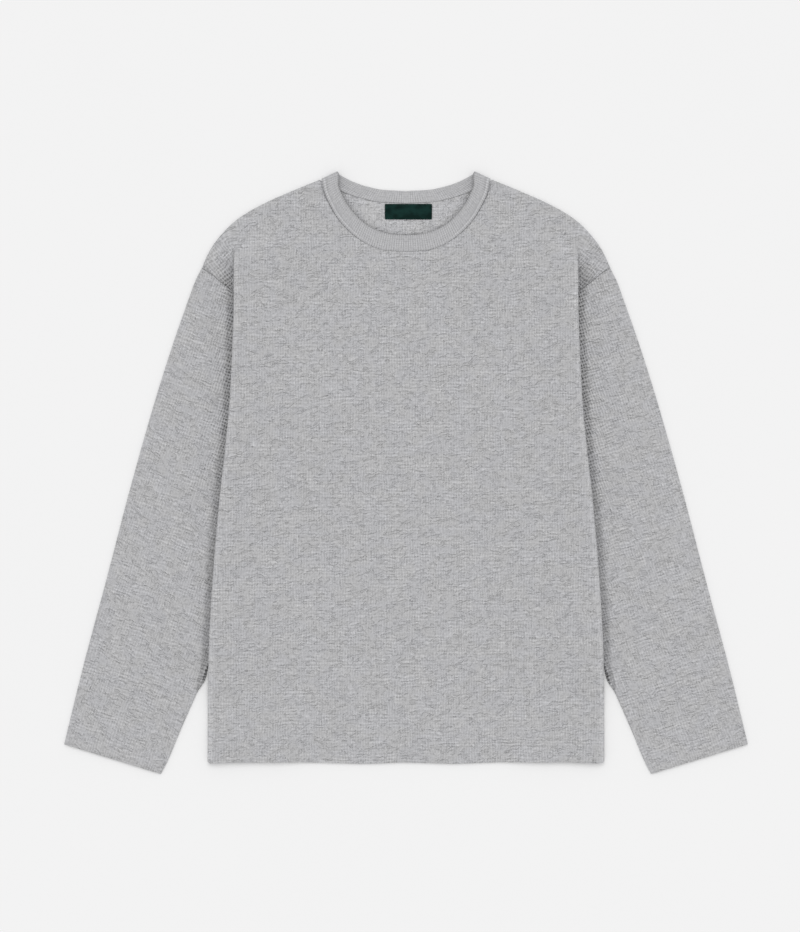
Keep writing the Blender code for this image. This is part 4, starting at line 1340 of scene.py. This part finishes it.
def thread_material():
    n = Nodes("sewing_thread")
    across, along = n.spot()
    twist = n.ridge(n.math("ADD", across, along), TWIST, 1.0)
    n.bump(twist, TWIST_DEPTH)
    # Darker in the twist's grooves: painted shade
    n.tint(n.math("MULTIPLY_ADD", twist, 0.2, 0.86), GREY)
    return n.finish(*THREAD_FINISH)


def floor_material():
    n = Nodes("studio_floor")
    coordinates = n.node("TexCoord").outputs["Object"]
    noise = n.node("TexNoise", Vector=coordinates, Scale=3.0)
    n.tint(n.math("MULTIPLY_ADD", noise.outputs[0], 0.01, 0.995), (FLOOR_GREY,) * 3)
    return n.finish(*FLOOR_FINISH)


# Scene


def dress():
    """Makes the cloth pieces."""
    waffle, rib, woven = waffle_material(), rib_material(), label_material()
    front = panel("front_cloth", FRONT_NECK, SEAM / 2, SEAM / 2 + CLOTH, waffle)
    back = panel("back_cloth", BACK_NECK, -SEAM / 2 - CLOTH, -SEAM / 2, waffle)
    right = sleeve("sleeve_right_cloth", 1, waffle)
    left = sleeve("sleeve_left_cloth", -1, waffle)
    band = neckband(rib)
    tag = label(woven)
    stitches = hem_stitches(thread_material())
    return front, back, right, left, band, tag, stitches


def studio():
    """Floor, light and a camera that looks straight down."""
    size = FLOOR_SIZE / 2
    corners = [(-size, -size, 0.0), (size, -size, 0.0), (size, size, 0.0), (-size, size, 0.0)]
    mesh = bpy.data.meshes.new("floor")
    mesh.from_pydata(corners, [], [(0, 1, 2, 3)])
    mesh.materials.append(floor_material())
    floor = placed("floor", mesh)

    world = bpy.data.worlds.new("studio")
    bpy.context.scene.world = world
    world.use_nodes = True
    sky = world.node_tree.nodes["Background"]
    sky.inputs["Color"].default_value = (1.0, 1.0, 1.0, 1.0)
    sky.inputs["Strength"].default_value = SKY

    sun = bpy.data.lights.new("overhead", "SUN")
    sun.energy, sun.angle = SUN, SUN_ANGLE
    placed("overhead", sun).rotation_euler = (-SUN_TILT, 0.0, 0.0)

    camera = bpy.data.cameras.new("camera")
    camera.lens, camera.sensor_width, camera.sensor_fit = LENS, SENSOR, "VERTICAL"
    camera.sensor_height = SENSOR
    eye = placed("camera", camera)
    eye.location = (*FRAME_CENTRE, FRAME_HEIGHT * LENS / SENSOR)
    bpy.context.scene.camera = eye
    bpy.context.scene.view_settings.view_transform = "Standard"
    return floor


floor = studio()
front, back, right, left, band, tag, stitches = dress()

for piece, node, finish in (
    (front, "front", "waffle"),
    (back, "back", "waffle"),
    (right, "sleeve_right", "waffle"),
    (left, "sleeve_left", "waffle"),
    (band, "neckband", "rib"),
    (tag, "label", "label"),
):
    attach(piece, "root")
    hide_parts(node)
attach(stitches, "root")
